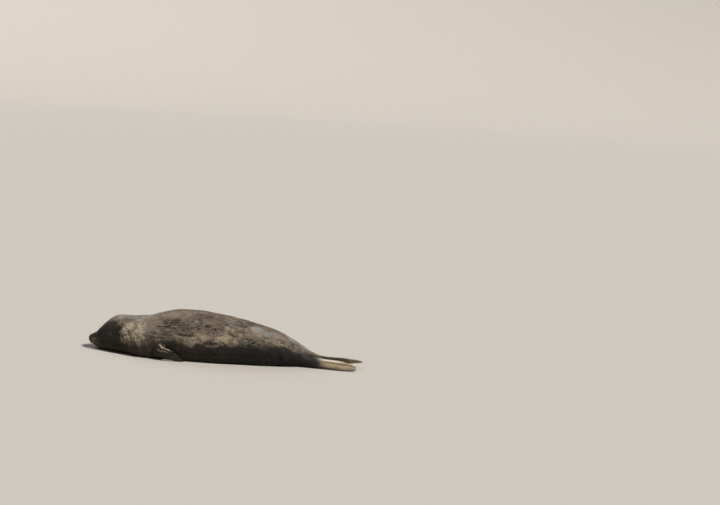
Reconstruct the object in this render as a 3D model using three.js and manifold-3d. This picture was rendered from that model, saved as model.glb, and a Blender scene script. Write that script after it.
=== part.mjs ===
// A female northern elephant seal at life size, lying on its belly with its chin on the ground.
// Units are millimetres and +Z is up. The head points to -X, so the animal's left side faces -Y.
// Everything is shaped along a straight body first: X runs from the nose (0) to the tail, Y is
// sideways from the spine, and Z is the height above the ground. The neck is bent at the end.
import * as THREE from "three";
import Module from "manifold-3d";

const wasm = await Module();
wasm.setup();

// Lengths along the body, from the nose tip.
const TAIL_TIP = 2500;
const NOSE_CAP = 30; // how far the rounded nose takes to reach its full section
const TAIL_CAP = 46;
const NECK_START = 330;
const TRUNK_START = 590;
const RUMP_START = 2105;
const TAIL_START = 2420;

// The neck bends to the animal's right in one arc, from BEND_END forwards.
const HEAD_TURN = THREE.MathUtils.degToRad(13);
const BEND_END = 820;

const PARTING = 0.4; // width of the thin cut between two neighbouring pieces of the body
const MOUTH_PARTING = 0.9;

// The body's section at named places: height of the back, of the keel (below 0 where the belly
// rests flat) and of the widest level, half the width there, and how square the upper and lower
// halves are (2 is an ellipse).
const SECTIONS = [
  { place: "nose", at: 0, top: 130, keel: 66, wide: 97, half: 45, upper: 2.1, lower: 2.0 },
  { place: "snout", at: 30, top: 148, keel: 54, wide: 94, half: 64, upper: 2.2, lower: 2.1 },
  { place: "lip", at: 62, top: 166, keel: 34, wide: 88, half: 76, upper: 2.1, lower: 2.1 },
  { place: "whisker pad", at: 95, top: 190, keel: 10, wide: 84, half: 85, upper: 2.1, lower: 2.1 },
  { place: "eye", at: 142, top: 236, keel: -5, wide: 96, half: 100, upper: 2.1, lower: 2.2 },
  { place: "cheek", at: 195, top: 288, keel: -7, wide: 114, half: 122, upper: 2.1, lower: 2.3 },
  { place: "crown", at: 260, top: 345, keel: -8, wide: 136, half: 148, upper: 2.1, lower: 2.3 },
  { place: "nape", at: 335, top: 380, keel: -10, wide: 150, half: 176, upper: 2.1, lower: 2.4 },
  { place: "neck", at: 460, top: 384, keel: -14, wide: 158, half: 220, upper: 2.0, lower: 2.5 },
  { place: "shoulder", at: 640, top: 400, keel: -20, wide: 164, half: 266, upper: 2.0, lower: 2.7 },
  { place: "withers", at: 800, top: 445, keel: -26, wide: 178, half: 298, upper: 2.0, lower: 3.0 },
  { place: "chest", at: 985, top: 487, keel: -30, wide: 190, half: 316, upper: 2.1, lower: 3.2 },
  { place: "barrel", at: 1190, top: 489, keel: -32, wide: 192, half: 326, upper: 2.1, lower: 3.2 },
  { place: "belly", at: 1440, top: 464, keel: -30, wide: 186, half: 316, upper: 2.1, lower: 3.1 },
  { place: "loin", at: 1700, top: 423, keel: -28, wide: 176, half: 284, upper: 2.1, lower: 2.8 },
  { place: "hip", at: 1930, top: 371, keel: -24, wide: 152, half: 244, upper: 2.0, lower: 2.8 },
  { place: "rump", at: 2110, top: 299, keel: -18, wide: 130, half: 206, upper: 2.0, lower: 2.4 },
  { place: "thigh", at: 2250, top: 230, keel: -8, wide: 110, half: 164, upper: 2.0, lower: 2.2 },
  { place: "shank", at: 2360, top: 166, keel: 14, wide: 96, half: 104, upper: 2.0, lower: 2.0 },
  { place: "tail root", at: 2430, top: 137, keel: 58, wide: 97, half: 56, upper: 2.0, lower: 2.0 },
  { place: "tail", at: 2500, top: 116, keel: 76, wide: 96, half: 38, upper: 2.0, lower: 2.0 },
];

// Soft swellings and hollows of the flesh, on both sides: centre, reach and height.
const SWELLINGS = [
  { place: "whisker pad", x: 58, y: 66, z: 88, reach: 34, lift: 9 },
  { place: "nostril wing", x: 14, y: 26, z: 112, reach: 18, lift: 5 },
  { place: "nose bridge", x: 84, y: 0, z: 178, reach: 34, lift: -5 },
  { place: "brow", x: 136, y: 70, z: 196, reach: 26, lift: 7 },
  { place: "eye hollow", x: 131, y: 84, z: 166, reach: 27, lift: -8 },
  { place: "cheek", x: 196, y: 120, z: 96, reach: 58, lift: 7 },
  { place: "forehead", x: 212, y: 0, z: 265, reach: 60, lift: 6 },
  { place: "throat", x: 330, y: 150, z: 30, reach: 90, lift: 8 },
  { place: "neck crease", x: 395, y: 175, z: 240, reach: 34, lift: -6 },
  { place: "neck roll", x: 455, y: 195, z: 240, reach: 44, lift: 6 },
  { place: "breast", x: 680, y: 262, z: 50, reach: 140, lift: 24 },
  { place: "shoulder blade", x: 770, y: 190, z: 390, reach: 120, lift: 9 },
  { place: "armpit", x: 880, y: 300, z: 150, reach: 70, lift: -10 },
  { place: "hip bone", x: 2060, y: 120, z: 290, reach: 90, lift: 7 },
];

// Where the rings of the body stand: from, to, how many steps.
const RING_RUNS = [
  { from: NOSE_CAP, to: 250, steps: 14 },
  { from: 250, to: 610, steps: 9 },
  { from: 610, to: 2080, steps: 18 },
  { from: 2080, to: TAIL_TIP - TAIL_CAP, steps: 8 },
];
const CAP_RINGS = 4;
const BODY_SIDES = 38;

const EYE = { x: 131, y: 54, z: 166, radius: 25, rings: 8, sides: 12 };

// The mouth line, seen from the side: it starts under the nose and ends below the eye.
const MOUTH = { frontZ: 50, cornerX: 152, cornerZ: 72, jawAngleX: 176, throatX: 236 };

// A flipper is a flattened tube along a Bezier path, with its five digits as ridges that end in
// scallops. Its stations say half the width, half the thickness and how far the digits stand out.
const FORE_FLIPPER = {
  path: [[772, 190, 106], [834, 314, 108], [892, 321, 84], [972, 320, 71]],
  spreadRoot: [0.3, 0.2, 0.93],
  spreadTip: [0.2, 0.38, 0.9],
  stations: [
    { at: 0, half: 82, thick: 66, ridge: 0 },
    { at: 0.3, half: 66, thick: 44, ridge: 0 },
    { at: 0.5, half: 60, thick: 27, ridge: 0.05 },
    { at: 0.75, half: 62, thick: 17, ridge: 0.22 },
    { at: 0.92, half: 63, thick: 11, ridge: 0.38 },
    { at: 1, half: 58, thick: 7, ridge: 0.3 },
  ],
  slant: 140, // how much further the first digit reaches than the fifth
  bow: 0, // how far the middle digits reach past a straight edge
  scallop: 9,
  rings: 10,
};
const HIND_FLIPPER = {
  path: [[2205, 60, 104], [2330, 94, 62], [2580, 90, 54], [2803, 82, 40]],
  spreadRoot: [0, -0.3, 0.95],
  spreadTip: [0, -0.84, 0.54],
  stations: [
    { at: 0, half: 82, thick: 66, ridge: 0 },
    { at: 0.2, half: 64, thick: 46, ridge: 0 },
    { at: 0.38, half: 53, thick: 30, ridge: 0.08 },
    { at: 0.6, half: 55, thick: 20, ridge: 0.25 },
    { at: 0.85, half: 65, thick: 14, ridge: 0.36 },
    { at: 1, half: 48, thick: 8, ridge: 0.3 },
  ],
  slant: 56,
  bow: 22,
  scallop: 9,
  rings: 13,
};
const DIGITS = 5;
const FAR_STRETCH = 42; // the right hind flipper lies this much further back than the left one
const FAR_LIFT = 32; // and is held this much higher at its tip

const DIGIT_SEGMENTS = 3; // facets across one digit
const CLAW = { length: 46, sunk: 17, radius: 6.2, droop: 6, rings: 4, sides: 6 };

const { sin, cos, abs, sqrt, exp, PI } = Math;

// A smooth curve through the stations, with no overshoot between them.
function through(stations, key) {
  const xs = stations.map((s) => s.at);
  const ys = stations.map((s) => s[key]);
  const rise = xs.slice(1).map((x, i) => (ys[i + 1] - ys[i]) / (x - xs[i]));
  const slopes = xs.map((_, i) => {
    if (i === 0) return rise[0];
    if (i === xs.length - 1) return rise[i - 1];
    const product = rise[i - 1] * rise[i];
    return product <= 0 ? 0 : (2 * product) / (rise[i - 1] + rise[i]);
  });
  return (x) => {
    let i = 0;
    while (i < xs.length - 2 && x > xs[i + 1]) i++;
    const span = xs[i + 1] - xs[i];
    const t = THREE.MathUtils.clamp((x - xs[i]) / span, 0, 1);
    const blend = t * t * (3 - 2 * t);
    const lead = t * (1 - t) * (1 - t) * span * slopes[i];
    const trail = t * t * (t - 1) * span * slopes[i + 1];
    return ys[i] * (1 - blend) + ys[i + 1] * blend + lead + trail;
  };
}

const section = Object.fromEntries(
  ["top", "keel", "wide", "half", "upper", "lower"].map((key) => [key, through(SECTIONS, key)]),
);

// 1 along the body, falling to 0 as a quarter circle at the nose and at the tail.
function endRounding(x) {
  const toNose = THREE.MathUtils.clamp(1 - x / NOSE_CAP, 0, 1);
  const toTail = THREE.MathUtils.clamp(1 - (TAIL_TIP - x) / TAIL_CAP, 0, 1);
  return sqrt(1 - toNose * toNose) * sqrt(1 - toTail * toTail);
}

function swelling(x, y, z) {
  return SWELLINGS.reduce((sum, s) => {
    const far = (x - s.x) ** 2 + (abs(y) - s.y) ** 2 + (z - s.z) ** 2;
    return sum + s.lift * exp(-far / (s.reach * s.reach));
  }, 0);
}

// A point of the body's surface. The angle runs from the right side (0) over the back (90 degrees).
function bodyPoint(x, angle, grow) {
  const c = cos(angle);
  const s = sin(angle);
  const wide = section.wide(x);
  const rise = s >= 0 ? section.top(x) - wide : wide - section.keel(x);
  const power = s >= 0 ? section.upper(x) : section.lower(x);
  const across = (abs(c) / section.half(x)) ** power;
  const upward = (abs(s) / rise) ** power;
  const round = endRounding(x);
  const radius = (across + upward) ** (-1 / power) * round;
  const out = radius + round * (swelling(x, radius * c, wide + radius * s) + grow);
  return new THREE.Vector3(x, out * c, wide + out * s);
}

function bodyRings() {
  const xs = [];
  for (let i = 0; i < CAP_RINGS; i++) xs.push(NOSE_CAP * (1 - cos((i / CAP_RINGS) * (PI / 2))));
  RING_RUNS.forEach(({ from, to, steps }) => {
    for (let i = 0; i < steps; i++) xs.push(from + ((to - from) * i) / steps);
  });
  for (let i = CAP_RINGS; i >= 0; i--) {
    xs.push(TAIL_TIP - TAIL_CAP * (1 - cos((i / CAP_RINGS) * (PI / 2))));
  }
  return xs;
}

// A closed solid through rings of points. A ring of one point is a tip. The first end is closed
// by a fan, and the last one too, or by a strip across a thin flat edge.
function loft(rings, stripEnd = false) {
  const points = rings.flat();
  const starts = rings.map((_, i) => rings.slice(0, i).reduce((n, r) => n + r.length, 0));
  const faces = [];
  for (let i = 0; i + 1 < rings.length; i++) {
    const sides = Math.max(rings[i].length, rings[i + 1].length);
    for (let j = 0; j < sides; j++) {
      const k = (j + 1) % sides;
      const [a, b] = rings[i].length === 1 ? [starts[i], starts[i]] : [starts[i] + j, starts[i] + k];
      const next = starts[i + 1];
      const [c, d] = rings[i + 1].length === 1 ? [next, next] : [next + j, next + k];
      if (a !== b) faces.push(a, b, c);
      if (c !== d) faces.push(b, d, c);
    }
  }
  const fan = (start, ring, flip) => {
    const middle = ring.reduce((sum, p) => sum.add(p), new THREE.Vector3());
    points.push(middle.divideScalar(ring.length));
    ring.forEach((_, j) => {
      const k = (j + 1) % ring.length;
      faces.push(...(flip ? [start + j, start + k] : [start + k, start + j]), points.length - 1);
    });
  };
  if (rings[0].length > 1) fan(starts[0], rings[0], false);
  const last = rings.at(-1);
  const start = starts.at(-1);
  if (last.length > 1 && !stripEnd) fan(start, last, true);
  if (last.length > 1 && stripEnd) {
    for (let j = 0; j < last.length / 2; j++) {
      const [a, b] = [start + j, start + j + 1];
      const [c, d] = [start + ((last.length - j) % last.length), start + last.length - j - 1];
      if (a !== c) faces.push(a, b, c);
      if (b !== d) faces.push(b, d, c);
    }
  }
  const geometry = new THREE.BufferGeometry().setFromPoints(points);
  geometry.setIndex(faces);
  return solid(geometry);
}

function solid(geometry) {
  const mesh = (indices) =>
    new wasm.Manifold(
      new wasm.Mesh({
        numProp: 3,
        vertProperties: new Float32Array(geometry.attributes.position.array),
        triVerts: new Uint32Array(indices),
      }),
    );
  const made = mesh(geometry.index.array);
  return made.volume() > 0 ? made : mesh(Array.from(geometry.index.array).reverse());
}

function bodySolid(grow) {
  const rings = bodyRings().map((x) => {
    if (x < 1e-6 || x > TAIL_TIP - 1e-6) return [bodyPoint(x, 0, 0)];
    return Array.from({ length: BODY_SIDES }, (_, j) => bodyPoint(x, (2 * PI * j) / BODY_SIDES, grow));
  });
  return loft(rings);
}

const vector = (a) => new THREE.Vector3(...a);

// The flipper's own frame at one place along it: along, across to the fifth digit, and outwards.
function flipperFrame(shape, t) {
  const path = new THREE.CubicBezierCurve3(...shape.path.map(vector));
  const along = path.getTangent(t);
  const across = vector(shape.spreadRoot).lerp(vector(shape.spreadTip), t);
  across.addScaledVector(along, -across.dot(along)).normalize();
  return { centre: path.getPoint(t), along, across, outward: new THREE.Vector3().crossVectors(across, along) };
}

// How far a place across the flipper (-1 at the first digit, 1 at the fifth) runs past the path.
function reachPast(shape, t, c) {
  const betweenDigits = cos(PI * DIGITS * (c + 1));
  const bend = shape.slant * (1 - c) * 0.5 + shape.bow * (1 - c * c);
  return bend * t * t - shape.scallop * betweenDigits * t ** 6;
}

// A point of the flipper: c runs across it, and face is 1 on the outer side and -1 on the inner.
function flipperPoint(shape, profile, t, c, face) {
  const { centre, along, across, outward } = flipperFrame(shape, t);
  const groove = (1 + cos(PI * DIGITS * (c + 1))) / 2;
  const thick = profile.thick(t) * (1 - profile.ridge(t) * groove);
  return centre
    .addScaledVector(along, reachPast(shape, t, c))
    .addScaledVector(across, profile.half(t) * c)
    .addScaledVector(outward, face * thick * (1 - c * c) ** 0.6);
}

function flipperProfile(shape) {
  return Object.fromEntries(["half", "thick", "ridge"].map((k) => [k, through(shape.stations, k)]));
}

function flipperSolid(shape) {
  const profile = flipperProfile(shape);
  const across = DIGITS * DIGIT_SEGMENTS;
  const rings = Array.from({ length: shape.rings + 1 }, (_, i) =>
    Array.from({ length: 2 * across }, (_, j) => {
      const c = 1 - (2 * (j <= across ? j : 2 * across - j)) / across;
      return flipperPoint(shape, profile, i / shape.rings, c, j <= across ? 1 : -1);
    }),
  );
  return loft(rings, true);
}

// A curved, tapering claw that grows from the upper face of one fore digit, near its end.
function clawSolid(shape, digit, grow = 0) {
  const t = 0.97;
  const c = (2 * digit + 1) / DIGITS - 1;
  const { centre, along, across, outward } = flipperFrame(shape, t);
  const root = centre
    .addScaledVector(along, reachPast(shape, 1, c) - CLAW.sunk)
    .addScaledVector(across, flipperProfile(shape).half(t) * c)
    .addScaledVector(outward, 3);
  const rings = Array.from({ length: CLAW.rings + 1 }, (_, i) => {
    const t = i / CLAW.rings;
    const middle = root
      .clone()
      .addScaledVector(along, t * CLAW.length)
      .addScaledVector(outward, -CLAW.droop * t * t);
    if (i === CLAW.rings) return [middle.addScaledVector(along, grow)];
    const radius = CLAW.radius * sqrt(1 - t) * (0.7 + 0.3 * (1 - t)) + grow;
    return Array.from({ length: CLAW.sides }, (_, j) => {
      const angle = (2 * PI * j) / CLAW.sides;
      return middle
        .clone()
        .addScaledVector(across, radius * cos(angle))
        .addScaledVector(outward, 0.8 * radius * sin(angle));
    });
  });
  return loft(rings);
}

function eyeSolid(side, grow = 0) {
  const radius = EYE.radius + grow;
  const rings = Array.from({ length: EYE.rings + 1 }, (_, i) => {
    const polar = (PI * i) / EYE.rings;
    const centre = new THREE.Vector3(EYE.x, side * EYE.y + radius * cos(polar), EYE.z);
    if (i === 0 || i === EYE.rings) return [centre];
    return Array.from({ length: EYE.sides }, (_, j) => {
      const around = (2 * PI * j) / EYE.sides;
      const ring = radius * sin(polar);
      return centre.clone().add(new THREE.Vector3(ring * cos(around), 0, ring * sin(around)));
    });
  });
  return loft(rings);
}

// The wedge of the head below the mouth line, which is the lower jaw.
function jawWedge(grow) {
  const { frontZ, cornerX, cornerZ, jawAngleX, throatX } = MOUTH;
  const outline = new THREE.Shape();
  outline.moveTo(-40, -40);
  outline.lineTo(-40, frontZ + grow);
  outline.lineTo(12, frontZ + grow);
  outline.quadraticCurveTo(84, frontZ - 2 + grow, cornerX, cornerZ + grow);
  outline.quadraticCurveTo(jawAngleX + grow, cornerZ + grow, jawAngleX + 8 + grow, cornerZ - 22);
  outline.lineTo(throatX + grow, -40);
  outline.closePath();
  const width = 400;
  const wedge = new THREE.ExtrudeGeometry(outline, { depth: width, bevelEnabled: false, curveSegments: 8 });
  wedge.rotateX(PI / 2).translate(0, width / 2, 0);
  return merged(wedge);
}

// A three.js geometry with its shared vertices joined, as a solid.
function merged(geometry) {
  const places = new Map();
  const points = [];
  const index = [];
  const position = geometry.attributes.position;
  const count = geometry.index ? geometry.index.count : position.count;
  for (let i = 0; i < count; i++) {
    const v = geometry.index ? geometry.index.getX(i) : i;
    const p = new THREE.Vector3().fromBufferAttribute(position, v);
    const key = p.toArray().map((n) => n.toFixed(3)).join();
    if (!places.has(key)) places.set(key, points.push(p) - 1);
    index.push(places.get(key));
  }
  return solid(new THREE.BufferGeometry().setFromPoints(points).setIndex(index));
}

const mirrored = (part) => part.mirror([0, 1, 0]);
const largest = (part) => part.decompose().sort((a, b) => b.volume() - a.volume())[0];
const onGround = (part) => part.trimByPlane([0, 0, 1], 0);
const between = (part, from, to) =>
  part.trimByPlane([1, 0, 0], from + PARTING / 2).trimByPlane([-1, 0, 0], -to + PARTING / 2);

const HIDE = { color: 0x7a6b58, roughness: 0.75, metalness: 0 };
const DARK_HIDE = { color: 0x5f5347, roughness: 0.7, metalness: 0 };
const EYE_GLOSS = { color: 0x0d0a08, roughness: 0.08, metalness: 0 };
const HORN = { color: 0x1c1815, roughness: 0.4, metalness: 0 };

// A point of the straight body, carried round the neck's arc.
function bendNeck(point) {
  if (point.x >= BEND_END) return point;
  const radius = BEND_END / HEAD_TURN;
  const turned = HEAD_TURN * (1 - point.x / BEND_END);
  return point.set(
    BEND_END - (radius - point.y) * sin(turned),
    radius - (radius - point.y) * cos(turned),
    point.z,
  );
}

function mesh(name, part, look) {
  const { vertProperties, triVerts, numProp } = part.getMesh();
  const geometry = new THREE.BufferGeometry();
  const points = [];
  for (let i = 0; i < vertProperties.length; i += numProp) {
    points.push(bendNeck(vector(vertProperties.subarray(i, i + 3))));
  }
  geometry.setFromPoints(points).setIndex(Array.from(triVerts));
  geometry.computeVertexNormals();
  const made = new THREE.Mesh(geometry, new THREE.MeshStandardMaterial(look));
  made.name = name;
  return made;
}

const seal = new THREE.Group();
const add = (name, part, look) => seal.add(mesh(name, part, look));

const whole = onGround(bodySolid(0));
const cutter = bodySolid(PARTING);
const balls = [1, -1].map((side) => eyeSolid(side, PARTING));
const headAndJaw = whole
  .trimByPlane([-1, 0, 0], -NECK_START + PARTING / 2)
  .subtract(balls[0])
  .subtract(balls[1]);
add("head", largest(headAndJaw.subtract(jawWedge(MOUTH_PARTING))), HIDE);
add("lower_jaw", largest(headAndJaw.intersect(jawWedge(0))), DARK_HIDE);
add("neck", between(whole, NECK_START, TRUNK_START), HIDE);
add("trunk", between(whole, TRUNK_START, RUMP_START), HIDE);
add("rump", between(whole, RUMP_START, TAIL_START), HIDE);
add("tail", whole.trimByPlane([1, 0, 0], TAIL_START + PARTING / 2), HIDE);

const SIDES = { left: -1, right: 1 };
for (const [name, side] of Object.entries(SIDES)) {
  const placed = (part) => (side < 0 ? mirrored(part) : part);
  add(`${name}_eye`, eyeSolid(side), EYE_GLOSS);

  let fore = flipperSolid(FORE_FLIPPER);
  for (let digit = 0; digit < DIGITS; digit++) {
    const claw = clawSolid(FORE_FLIPPER, digit);
    fore = fore.subtract(clawSolid(FORE_FLIPPER, digit, PARTING));
    add(`${name}_fore_claw_${digit + 1}`, onGround(placed(claw)), HORN);
  }
  add(`${name}_fore_flipper`, largest(onGround(placed(fore)).subtract(cutter)), DARK_HIDE);

  const hindShape = structuredClone(HIND_FLIPPER);
  if (side > 0) hindShape.path[3][0] += FAR_STRETCH;
  if (side > 0) hindShape.path[3][2] += FAR_LIFT;
  add(`${name}_hind_flipper`, largest(onGround(placed(flipperSolid(hindShape))).subtract(cutter)), DARK_HIDE);
}

// The origin lies on the ground, under the middle of the animal's box.
const box = new THREE.Box3().setFromObject(seal);
const middle = box.getCenter(new THREE.Vector3());
seal.children.forEach((piece) => piece.geometry.translate(-middle.x, -middle.y, -box.min.z));

export default seal;
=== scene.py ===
import math
import bpy
import numpy as np
from mathutils import Matrix, Vector


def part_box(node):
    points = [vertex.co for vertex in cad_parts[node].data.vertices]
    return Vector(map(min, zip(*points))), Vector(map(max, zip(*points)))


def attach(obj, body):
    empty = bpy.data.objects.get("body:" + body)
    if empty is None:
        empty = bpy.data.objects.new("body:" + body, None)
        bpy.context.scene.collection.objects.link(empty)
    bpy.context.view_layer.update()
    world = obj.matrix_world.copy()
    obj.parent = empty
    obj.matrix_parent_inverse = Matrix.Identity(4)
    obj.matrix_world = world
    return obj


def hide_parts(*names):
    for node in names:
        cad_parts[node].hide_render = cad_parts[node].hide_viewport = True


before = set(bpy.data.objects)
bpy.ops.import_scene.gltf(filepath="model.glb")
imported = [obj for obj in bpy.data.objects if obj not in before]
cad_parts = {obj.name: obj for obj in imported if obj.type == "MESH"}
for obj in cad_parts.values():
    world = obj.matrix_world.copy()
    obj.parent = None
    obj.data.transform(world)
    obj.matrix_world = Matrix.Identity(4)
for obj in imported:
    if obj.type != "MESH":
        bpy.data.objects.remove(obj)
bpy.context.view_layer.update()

mm = 0.001

# Camera: 70 mm on a 36 mm sensor, standing 3.1 m above the floor and 14 m away
camera = {
    "place": (2.754, -14.115, 3.122),
    "turn": 5.59,   # degrees to the left of straight ahead
    "dip": 7.63,    # degrees below the horizon
    "roll": 3.40,   # degrees that the camera leans, so that the floor falls to the right
    "lens": 70.0,
    "sensor": 36.0,
    "farEnd": 400.0,
}


def setCamera(plan):
    # right = (cos turn, sin turn, 0), forward dips below the horizon, up = right x forward, and
    # right and up are then rolled about forward
    turn, dip, roll = (math.radians(plan[k]) for k in ("turn", "dip", "roll"))
    right = np.array([math.cos(turn), math.sin(turn), 0])
    forward = np.array([-math.sin(turn) * math.cos(dip), math.cos(turn) * math.cos(dip), -math.sin(dip)])
    up = np.cross(right, forward)
    rolledRight = math.cos(roll) * right + math.sin(roll) * up
    rolledUp = math.cos(roll) * up - math.sin(roll) * right
    data = bpy.data.cameras.new("photoCamera")
    data.lens = plan["lens"]
    data.sensor_width = plan["sensor"]
    data.clip_end = plan["farEnd"]
    holder = bpy.data.objects.new("photoCamera", data)
    bpy.context.collection.objects.link(holder)
    holder.matrix_world = Matrix((
        (rolledRight[0], rolledUp[0], -forward[0], plan["place"][0]),
        (rolledRight[1], rolledUp[1], -forward[1], plan["place"][1]),
        (rolledRight[2], rolledUp[2], -forward[2], plan["place"][2]),
        (0, 0, 0, 1),
    ))
    bpy.context.scene.camera = holder


setCamera(camera)
print("camera set")


# Curves and noise
def smooth(low, high, x):
    # 0 below low, 1 above high, and 3t^2 - 2t^3 between
    t = np.clip((x - low) / (high - low), 0, 1)
    return t * t * (3 - 2 * t)


def hump(x, centre, width):
    # A Gaussian: 1 at the centre, and 1/e a width away from it
    return np.exp(-((x - centre) / width) ** 2)


def through(at, values):
    # Hermite cubics through the stations; each inner slope is the harmonic mean of the two rises
    # beside it, or level where they turn, so nothing overshoots.
    at, values = np.asarray(at, float), np.asarray(values, float)
    rise = np.diff(values) / np.diff(at)
    product = rise[:-1] * rise[1:]
    inner = np.where(product > 0, 2 * product / np.where(product > 0, rise[:-1] + rise[1:], 1), 0)
    slopes = np.concatenate([rise[:1], inner, rise[-1:]])

    def curve(x):
        i = np.clip(np.searchsorted(at, x, side="right") - 1, 0, len(at) - 2)
        span = at[i + 1] - at[i]
        t = np.clip((x - at[i]) / span, 0, 1)
        blend = smooth(0, 1, t)
        lead = t * (1 - t) ** 2 * span * slopes[i]
        trail = t * t * (t - 1) * span * slopes[i + 1]
        return values[i] * (1 - blend) + values[i + 1] * blend + lead + trail

    return curve


# What stirs the whole-number place of a lattice's corner and a seed into a random number
stir = {"place": np.array([73856093, 19349663, 83492791]), "seed": 7919, "again": 1274126177, "shift": 512.0}


def noise(points, size, seed=0):
    # Random values from -1 to 1 on a lattice of the given size, blended by smoothsteps
    p = points / size + stir["shift"]
    cell = np.floor(p).astype(np.int64)
    t = smooth(0, 1, p - cell)
    total = np.zeros(len(points))
    for corner in range(8):
        step = np.array([corner & 1, corner >> 1 & 1, corner >> 2 & 1])
        mixed = ((cell + step) * stir["place"]).sum(1) + seed * stir["seed"]
        mixed = (mixed ^ (mixed >> 13)) * stir["again"]
        value = ((mixed ^ (mixed >> 16)) & 0xFFFF) / 32767.5 - 1
        total += value * np.prod(np.where(step, t, 1 - t), axis=1)
    return total


def rough(points, size, octaves, seed=0):
    # Octaves of noise, each half the size and 0.55 of the height of the one before
    return sum(0.55 ** k * noise(points, size / 2 ** k, seed + k) for k in range(octaves))


# The body: the same sections as the frame's solids, in millimetres along a straight body
body = {
    "length": 2500.0, "noseCap": 30.0, "tailCap": 46.0,
    "bendEnd": 820.0, "headTurn": math.radians(13),
    "sections": (  # at, top, keel, widest level, half width, squareness above and below it
        (0, 130, 66, 97, 45, 2.1, 2.0), (30, 148, 54, 94, 64, 2.2, 2.1),
        (62, 166, 34, 88, 76, 2.1, 2.1), (95, 190, 10, 84, 85, 2.1, 2.1),
        (142, 236, -5, 96, 100, 2.1, 2.2), (195, 288, -7, 114, 122, 2.1, 2.3),
        (260, 345, -8, 136, 148, 2.1, 2.3), (335, 380, -10, 150, 176, 2.1, 2.4),
        (460, 384, -14, 158, 220, 2.0, 2.5), (640, 400, -20, 164, 266, 2.0, 2.7),
        (800, 445, -26, 178, 298, 2.0, 3.0), (985, 487, -30, 190, 316, 2.1, 3.2),
        (1190, 489, -32, 192, 326, 2.1, 3.2), (1440, 464, -30, 186, 316, 2.1, 3.1),
        (1700, 423, -28, 176, 284, 2.1, 2.8), (1930, 371, -24, 152, 244, 2.0, 2.8),
        (2110, 299, -18, 130, 206, 2.0, 2.4), (2250, 230, -8, 110, 164, 2.0, 2.2),
        (2360, 166, 14, 96, 104, 2.0, 2.0), (2430, 137, 58, 97, 56, 2.0, 2.0),
        (2500, 116, 76, 96, 38, 2.0, 2.0),
    ),
    "swellings": (  # centre x, y, z, reach, height: on both sides
        (58, 66, 88, 34, 9), (14, 26, 112, 18, 5), (84, 0, 178, 34, -5), (136, 70, 196, 26, 7),
        (131, 84, 166, 27, -8), (196, 120, 96, 58, 7), (212, 0, 265, 60, 6), (330, 150, 30, 90, 8),
        (395, 175, 240, 34, -6), (455, 195, 240, 44, 6), (680, 262, 50, 140, 24),
        (770, 190, 390, 120, 9), (880, 300, 150, 70, -10), (2060, 120, 290, 90, 7),
    ),
    "columns": 184, "columnPull": 0.3,  # the columns stand closer on the back than on the belly
    "rings": (  # from, to, and how many rings
        (30, 330, 120), (330, 640, 60), (640, 780, 14), (780, 920, 22), (920, 2080, 116), (2080, 2454, 54),
    ),
    "capRings": 13,     # over each rounded end
    "middle": 1500.0,   # the fore flippers are ahead of it and the hind ones behind
    "coatDepth": 3.0,   # how deep the skin lies below the frame's surface, where the coat ends
    "floorGap": 0.6,
}
curves = [through([s[0] for s in body["sections"]], [s[k] for s in body["sections"]]) for k in range(1, 7)]


def degreesDown(p):
    # The angle from the back about the widest level: 90 at that level, below 0 on the left side
    return np.degrees(np.arctan2(p[:, 1], p[:, 2] - curves[2](p[:, 0])))


def bodySurface(x, angle, grow):
    # Half an ellipse-like curve above the widest level and half below:
    # radius = (|cos/half|^n + |sin/rise|^n)^(-1/n), closed by quarter circles at nose and tail,
    # with Gaussian swellings pushed out along the radius.
    top, keel, wide, half, upper, lower = (curve(x) for curve in curves)
    c, s = np.cos(angle), np.sin(angle)
    rise = np.where(s >= 0, top - wide, wide - keel)
    power = np.where(s >= 0, upper, lower)
    radius = ((np.abs(c) / half) ** power + (np.abs(s) / rise) ** power) ** (-1 / power)
    toNose = np.clip(1 - x / body["noseCap"], 0, 1)
    toTail = np.clip(1 - (body["length"] - x) / body["tailCap"], 0, 1)
    cap = np.sqrt(1 - toNose ** 2) * np.sqrt(1 - toTail ** 2)
    radius = radius * cap
    swell = grow
    for sx, sy, sz, reach, lift in body["swellings"]:
        far = (x - sx) ** 2 + (np.abs(radius * c) - sy) ** 2 + (wide + radius * s - sz) ** 2
        swell = swell + lift * np.exp(-far / reach ** 2)
    out = radius + cap * swell
    return np.stack(np.broadcast_arrays(x, out * c, wide + out * s), -1)


def columnAngle(u):
    # Even steps round the body, pulled towards the back
    return 2 * np.pi * u + body["columnPull"] * np.cos(2 * np.pi * u)


def bendNeck(points):
    # Ahead of bendEnd the straight spine becomes an arc: x = end - (R - y) sin, y = R - (R - y) cos
    end, turn = body["bendEnd"], body["headTurn"]
    radius = end / turn
    turned = turn * (1 - points[:, 0] / end)
    arm = radius - points[:, 1]
    bent = np.stack([end - arm * np.sin(turned), radius - arm * np.cos(turned), points[:, 2]], 1)
    return np.where(points[:, :1] < end, bent, points)


shiftBack = body["length"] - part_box("tail")[1].x / mm


def toFrame(points):
    # Straight millimetres to the frame's metres
    return (bendNeck(points) - np.array([shiftBack, 0, 0])) * mm


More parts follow.
